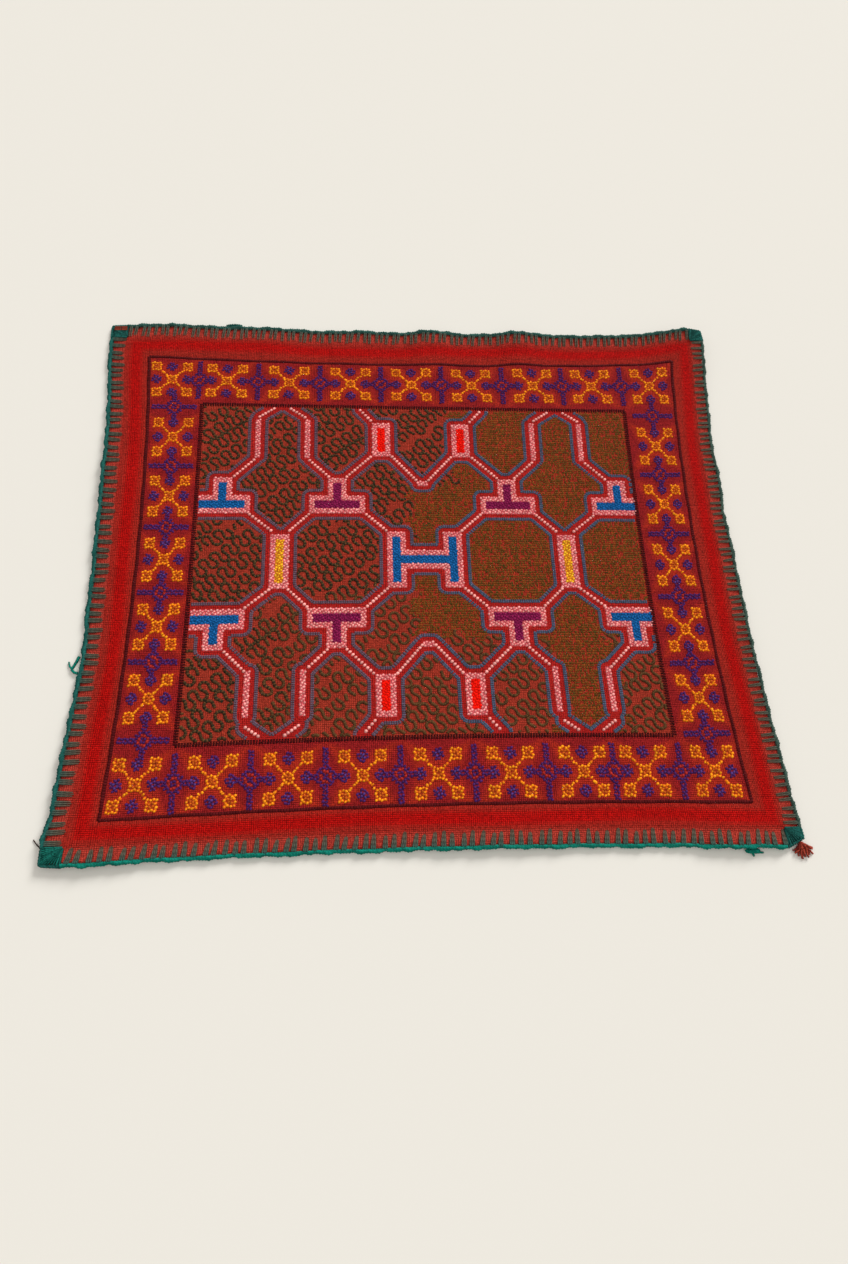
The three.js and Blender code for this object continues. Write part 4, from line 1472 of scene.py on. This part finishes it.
class CLOTH_OT_corners(bpy.types.Operator):
    """Wrap thick yarn round the four corners"""

    bl_idname = "cloth.corners"
    bl_label = "Corners"

    STRANDS = 14

    def execute(self, context):
        colours = palette(context)
        for side, other, inset_x, inset_y in CORNERS:
            yarn = Yarns()
            self.corner(yarn, side, other, colours)
            yarn.spin(f"corner_yarn_{other}_{side}", "corner", "edge_yarn", f"corner_{other}_{side}")
        return {"FINISHED"}

    def corner(self, yarn, side, other, colours):
        """A yarn that bends round the corner, and strands over it from a root on the border."""
        sign_x, sign_y = SIDES[side][1], SIDES[other][1]

        def at(in_x, in_y):
            return on_cloth(sign_x * (HALF_LENGTH - in_x), sign_y * (HALF_DEPTH - in_y), 0.0)

        def around(angle):
            return np.array([sign_x * math.cos(angle), sign_y * math.sin(angle), 0])

        middle, inner, side_end, other_end = at(0, 0), at(HEM, HEM), at(0, HEM), at(HEM, 0)
        reach = (GAP + YARN_WIDTH / 2) * MM
        up = lifted(1.8)
        bend = [middle + up + reach * around(angle) for angle in np.linspace(0, math.pi / 2, 5)]
        start = side_end + up + np.array([sign_x * reach, 0, 0])
        end = other_end + up + np.array([0, sign_y * reach, 0])
        yarn.add(through([start, *bend, end], 40), 1.7, colours.teal)
        over = lifted(THICKNESS + OVER_CLOTH + 0.5)
        random = np.random.default_rng(SEED)
        teal = colours.teal
        if (side, other) == ("left", "front"):
            teal = (teal + colours.teal_bright) / 2
        for k in range(self.STRANDS):
            share = k / (self.STRANDS - 1)
            foot = self.along_edges(side_end, middle, other_end, share)
            root = inner + (foot - inner) * random.uniform(0.02, 0.25) + over - lifted(0.35)
            rise = lifted(random.uniform(-0.3, 0.25))
            half = inner + (foot - inner) * 0.55 + over + rise
            rim = foot + over + rise
            low = foot + around(share * math.pi / 2) * 1.6 * MM + lifted(1.5)
            yarn.add(through([root, half, rim, low], 14), 1.1, teal * random.uniform(0.5, 1.15))
        if (side, other) == ("left", "back"):
            places = np.linspace(HEM - 0.5, 0.5, 8) - HALF_LENGTH
            for inward in (0.6, 2.3, 4.0):
                line = over_border(other, places, inward, 1.5)
                yarn.add(line, 1.0, colours.rust * random.uniform(0.8, 1.2))

    def along_edges(self, start, middle, end, share):
        if share < 0.5:
            return start + (middle - start) * share * 2
        return middle + (end - middle) * (share * 2 - 1)


# Loose strands beside an edge: piece, side, first and last thickness, then three places along the
# side, how far out and how high their lower side is.
LOOSE_STRANDS = (
    ("yarn_knot", "front", 2.2, 1.7, (256.0, 260.0, 262.6), (2.0, 1.9, 2.1), (0.5, 0.0, 0.0)),
    ("yarn_knot", "front", 2.4, 1.9, (253.0, 253.6, 254.4), (1.8, 3.4, 4.8), (0.5, 0.0, 0.0)),
    ("yarn_tuft", "left", 2.8, 2.4, (-93.0, -98.4, -104.4), (1.3, 3.4, 6.0), (0.5, 0.0, 0.2)),
    ("yarn_tuft", "left", 2.8, 2.4, (-107.8, -107.0, -104.4), (0.3, 3.2, 6.0), (0.5, 0.0, 0.2)),
    ("yarn_tuft", "left", 2.2, 1.4, (-103.8, -101.4, -97.4), (5.4, 8.0, 9.4), (0.3, 0.0, 0.3)),
    ("loose_thread", "left", 1.1, 0.9, (-248.6, -245.4, -241.4), (0.0, 3.2, 6.6), (0.6, 0.3, 0.0)),
)
# Knots beside an edge: piece, side, place along it, how far out, how high, and the three radii.
LOOSE_LUMPS = (
    ("yarn_knot", "front", 253.0, 0.8, 2.6, (6.6, 2.5, 2.0)),
    ("yarn_lump", "back", -183.0, 1.5, 2.1, (8.6, 2.2, 1.9)),
)
LUMP_TURNS = 8.5
TASSEL_RADIUS = 4.3
TASSEL_FLATNESS = 0.75
TASSEL_ALONG = 9.0
# Count of strands, first and last angle in degrees, length and rise of each layer.
TASSEL_LAYERS = ((11, -160.0, 16.0, 8.8, 0.9), (8, -140.0, 10.0, 8.0, 1.9), (6, -120.0, -6.0, 7.0, 2.8))


class CLOTH_OT_loose_yarn(bpy.types.Operator):
    """Make the tassel, the knotted ends, the tuft and the loose thread"""

    bl_idname = "cloth.loose_yarn"
    bl_label = "Loose Yarn"

    def execute(self, context):
        colours = palette(context)
        for name, slot_name, colour in (
            ("yarn_knot", "edge_yarn", colours.teal_bright),
            ("yarn_tuft", "edge_yarn", colours.teal_bright),
            ("yarn_lump", "edge_yarn", colours.teal),
            ("loose_thread", "dark_thread", colours.thread),
        ):
            yarn = Yarns()
            for piece, side, thick, tip, along, out, rise in LOOSE_STRANDS:
                if piece == name:
                    radius = np.linspace(thick, tip, 16) / 2
                    line = through(on_floor(side, along, out, rise), 16)
                    line[:, 2] += radius * MM
                    yarn.add(line, radius, colour)
            for piece, side, along, out, height, radii in LOOSE_LUMPS:
                if piece == name:
                    self.wind(yarn, on_floor(side, along, out, height), radii, colour)
            yarn.spin(f"{name}_spun", "loose", slot_name, name)
        tassel = Yarns()
        self.tassel(tassel, colours)
        tassel.spin("tassel_yarn", "tassel", "tassel_yarn", "tassel")
        return {"FINISHED"}

    def wind(self, yarn, middle, radii, colour):
        """Yarn wound round and round along a knot."""
        share = np.linspace(0, 1, 150)
        angle = share * LUMP_TURNS * 2 * math.pi
        fullness = np.sqrt(np.clip(1 - (2 * share - 1) ** 2, 0.12, 1))
        x = middle[0] + (2 * share - 1) * (radii[0] - 1.0) * MM
        y = middle[1] + np.cos(angle) * fullness * (radii[1] - 0.8) * MM
        z = middle[2] + np.sin(angle) * fullness * (radii[2] - 0.8) * MM
        yarn.add(np.stack([x, y, z], axis=1), 0.95, colour)
        core = [(middle[0] + way * (radii[0] - 1.2) * MM, middle[1], middle[2]) for way in (-1, 0, 1)]
        yarn.add(through(core, 12), 1.1, colour)

    def tassel(self, yarn, colours):
        """Strands in layers, spread like a fan from a root at the corner."""
        corner = on_cloth(HALF_LENGTH, -HALF_DEPTH, 0.0)
        front = on_cloth(HALF_LENGTH - HEM, -HALF_DEPTH, 0.0)
        edge = corner - front
        edge[2] = 0.0
        edge = edge / np.linalg.norm(edge)
        out = (2 * GAP + YARN_WIDTH + TASSEL_RADIUS) * MM
        middle = front + np.array([edge[1] * out, -edge[0] * out, 0]) + edge * TASSEL_ALONG * MM
        middle[2] = TASSEL_RADIUS * TASSEL_FLATNESS * MM
        root = middle + (corner + (front - corner) * 0.2 - middle) * 0.62
        random = np.random.default_rng(SEED)
        for count, first, last, length, rise in TASSEL_LAYERS:
            for k in range(count):
                angle = math.radians(first + (last - first) * k / (count - 1) + random.uniform(-13, 13))
                reach = length + random.uniform(-2.8, 1.0)
                end = middle + np.array([math.cos(angle), math.sin(angle), 0]) * reach * MM
                bend = (root + end) / 2 + random.uniform(-1.5, 1.5, 3) * np.array([1, 1, 0]) * MM
                places = np.array([root, bend, end])
                places[:, 2] = np.array([2.4 + 0.3 * rise, rise + 0.9, max(0.75, rise - 0.6)]) * MM
                colour = mixed(colours.russet, colours.russet_dark, random.uniform(0, 1))
                yarn.add(through(places, 12), np.linspace(0.95, 0.8, 12), colour)


# The floor's half width in metres, and the colours of the floor and of the light all round.
FLOOR_HALF = 4
FLOOR_COLOUR = (237, 233, 224)
WORLD_COLOUR = (1.0, 0.985, 0.96, 1.0)
WORLD_STRENGTH = 0.485
# Each lamp: its name, the way it stands from the middle, its softness in degrees and its strength.
LAMPS = (("key_light", (0.56, 0.8, 0.48), 22.0, 2.75), ("fill_light", (-0.3, -0.9, 1.8), 40.0, 0.5))
# The camera: what it looks at and how far off, in metres, and its azimuth, elevation and roll in degrees.
CAMERA_TARGET = (-0.003, -0.073, 0.0)
CAMERA_DISTANCE = 0.759
CAMERA_ANGLES = (-9.9, 66.5, 8.54)
# The focal length and the photo's height in the photo's pixels.
FOCAL_PIXELS = 870.0
PHOTO_HEIGHT = 1264.0


class CLOTH_OT_stage(bpy.types.Operator):
    """Make the floor, the soft studio light and the camera"""

    bl_idname = "cloth.stage"
    bl_label = "Stage"

    def execute(self, context):
        scene = context.scene
        corners = [(x * FLOOR_HALF, y * FLOOR_HALF, 0) for x, y in ((-1, -1), (1, -1), (1, 1), (-1, 1))]
        floor = new_piece("floor", corners, [(0, 1, 2, 3)])
        finish = Finish("Pale floor")
        finish.feed(finish.shader["Base Color"], (*srgb(*FLOOR_COLOUR), 1.0))
        finish.feed(finish.shader["Roughness"], 0.9)
        floor.data.materials.append(finish.material)
        for name, place, spread, strength in LAMPS:
            light = bpy.data.lights.new(name, "SUN")
            light.angle = math.radians(spread)
            light.energy = strength
            lamp = linked(name, light)
            lamp.location = place
            lamp.rotation_euler = (-Vector(place)).to_track_quat("-Z", "Y").to_euler()
        scene.world = bpy.data.worlds.new("Studio")
        scene.world.use_nodes = True
        background = scene.world.node_tree.nodes["Background"].inputs
        background["Color"].default_value = WORLD_COLOUR
        background["Strength"].default_value = WORLD_STRENGTH
        scene.view_settings.view_transform = "Standard"
        self.camera(scene)
        return {"FINISHED"}

    def camera(self, scene):
        azimuth, elevation, roll = (math.radians(angle) for angle in CAMERA_ANGLES)
        flat = math.cos(elevation)
        back = Vector((math.sin(azimuth) * flat, -math.cos(azimuth) * flat, math.sin(elevation)))
        level = Vector((math.cos(azimuth), math.sin(azimuth), 0.0))
        upward = back.cross(level)
        right = level * math.cos(roll) + upward * math.sin(roll)
        up = upward * math.cos(roll) - level * math.sin(roll)
        data = bpy.data.cameras.new("camera")
        data.sensor_width = 36.0
        data.lens = data.sensor_width * FOCAL_PIXELS / PHOTO_HEIGHT
        data.clip_start = 0.01
        scene.camera = linked("camera", data)
        turn = Matrix((right, up, back)).transposed().to_4x4()
        scene.camera.matrix_world = Matrix.Translation(Vector(CAMERA_TARGET) + back * CAMERA_DISTANCE) @ turn


class CLOTH_PT_pieces(bpy.types.Panel):
    """Lists the cloth's pieces"""

    bl_idname = "CLOTH_PT_pieces"
    bl_label = "Ceremonial Cloth"
    bl_space_type = "VIEW_3D"
    bl_region_type = "UI"
    bl_category = "Cloth"

    def draw(self, context):
        for operator in OPERATORS:
            self.layout.operator(operator.bl_idname)


OPERATORS = (
    CLOTH_OT_stage,
    CLOTH_OT_ground,
    CLOTH_OT_star_band,
    CLOTH_OT_lattice,
    CLOTH_OT_fields,
    CLOTH_OT_lines,
    CLOTH_OT_edging,
    CLOTH_OT_corners,
    CLOTH_OT_loose_yarn,
)
CLASSES = (ClothSizes, ClothColours, *OPERATORS, CLOTH_PT_pieces)


def register():
    for cls in CLASSES:
        bpy.utils.register_class(cls)
    bpy.types.Scene.cloth_sizes = PointerProperty(type=ClothSizes)
    bpy.types.Scene.cloth_colours = PointerProperty(type=ClothColours)


def unregister():
    del bpy.types.Scene.cloth_colours
    del bpy.types.Scene.cloth_sizes
    for cls in reversed(CLASSES):
        bpy.utils.unregister_class(cls)


def main():
    register()
    bpy.ops.cloth.stage()
    bpy.ops.cloth.ground()
    bpy.ops.cloth.star_band()
    bpy.ops.cloth.lattice()
    bpy.ops.cloth.fields()
    bpy.ops.cloth.lines()
    bpy.ops.cloth.edging()
    bpy.ops.cloth.corners()
    bpy.ops.cloth.loose_yarn()


if __name__ == "__main__":
    main()
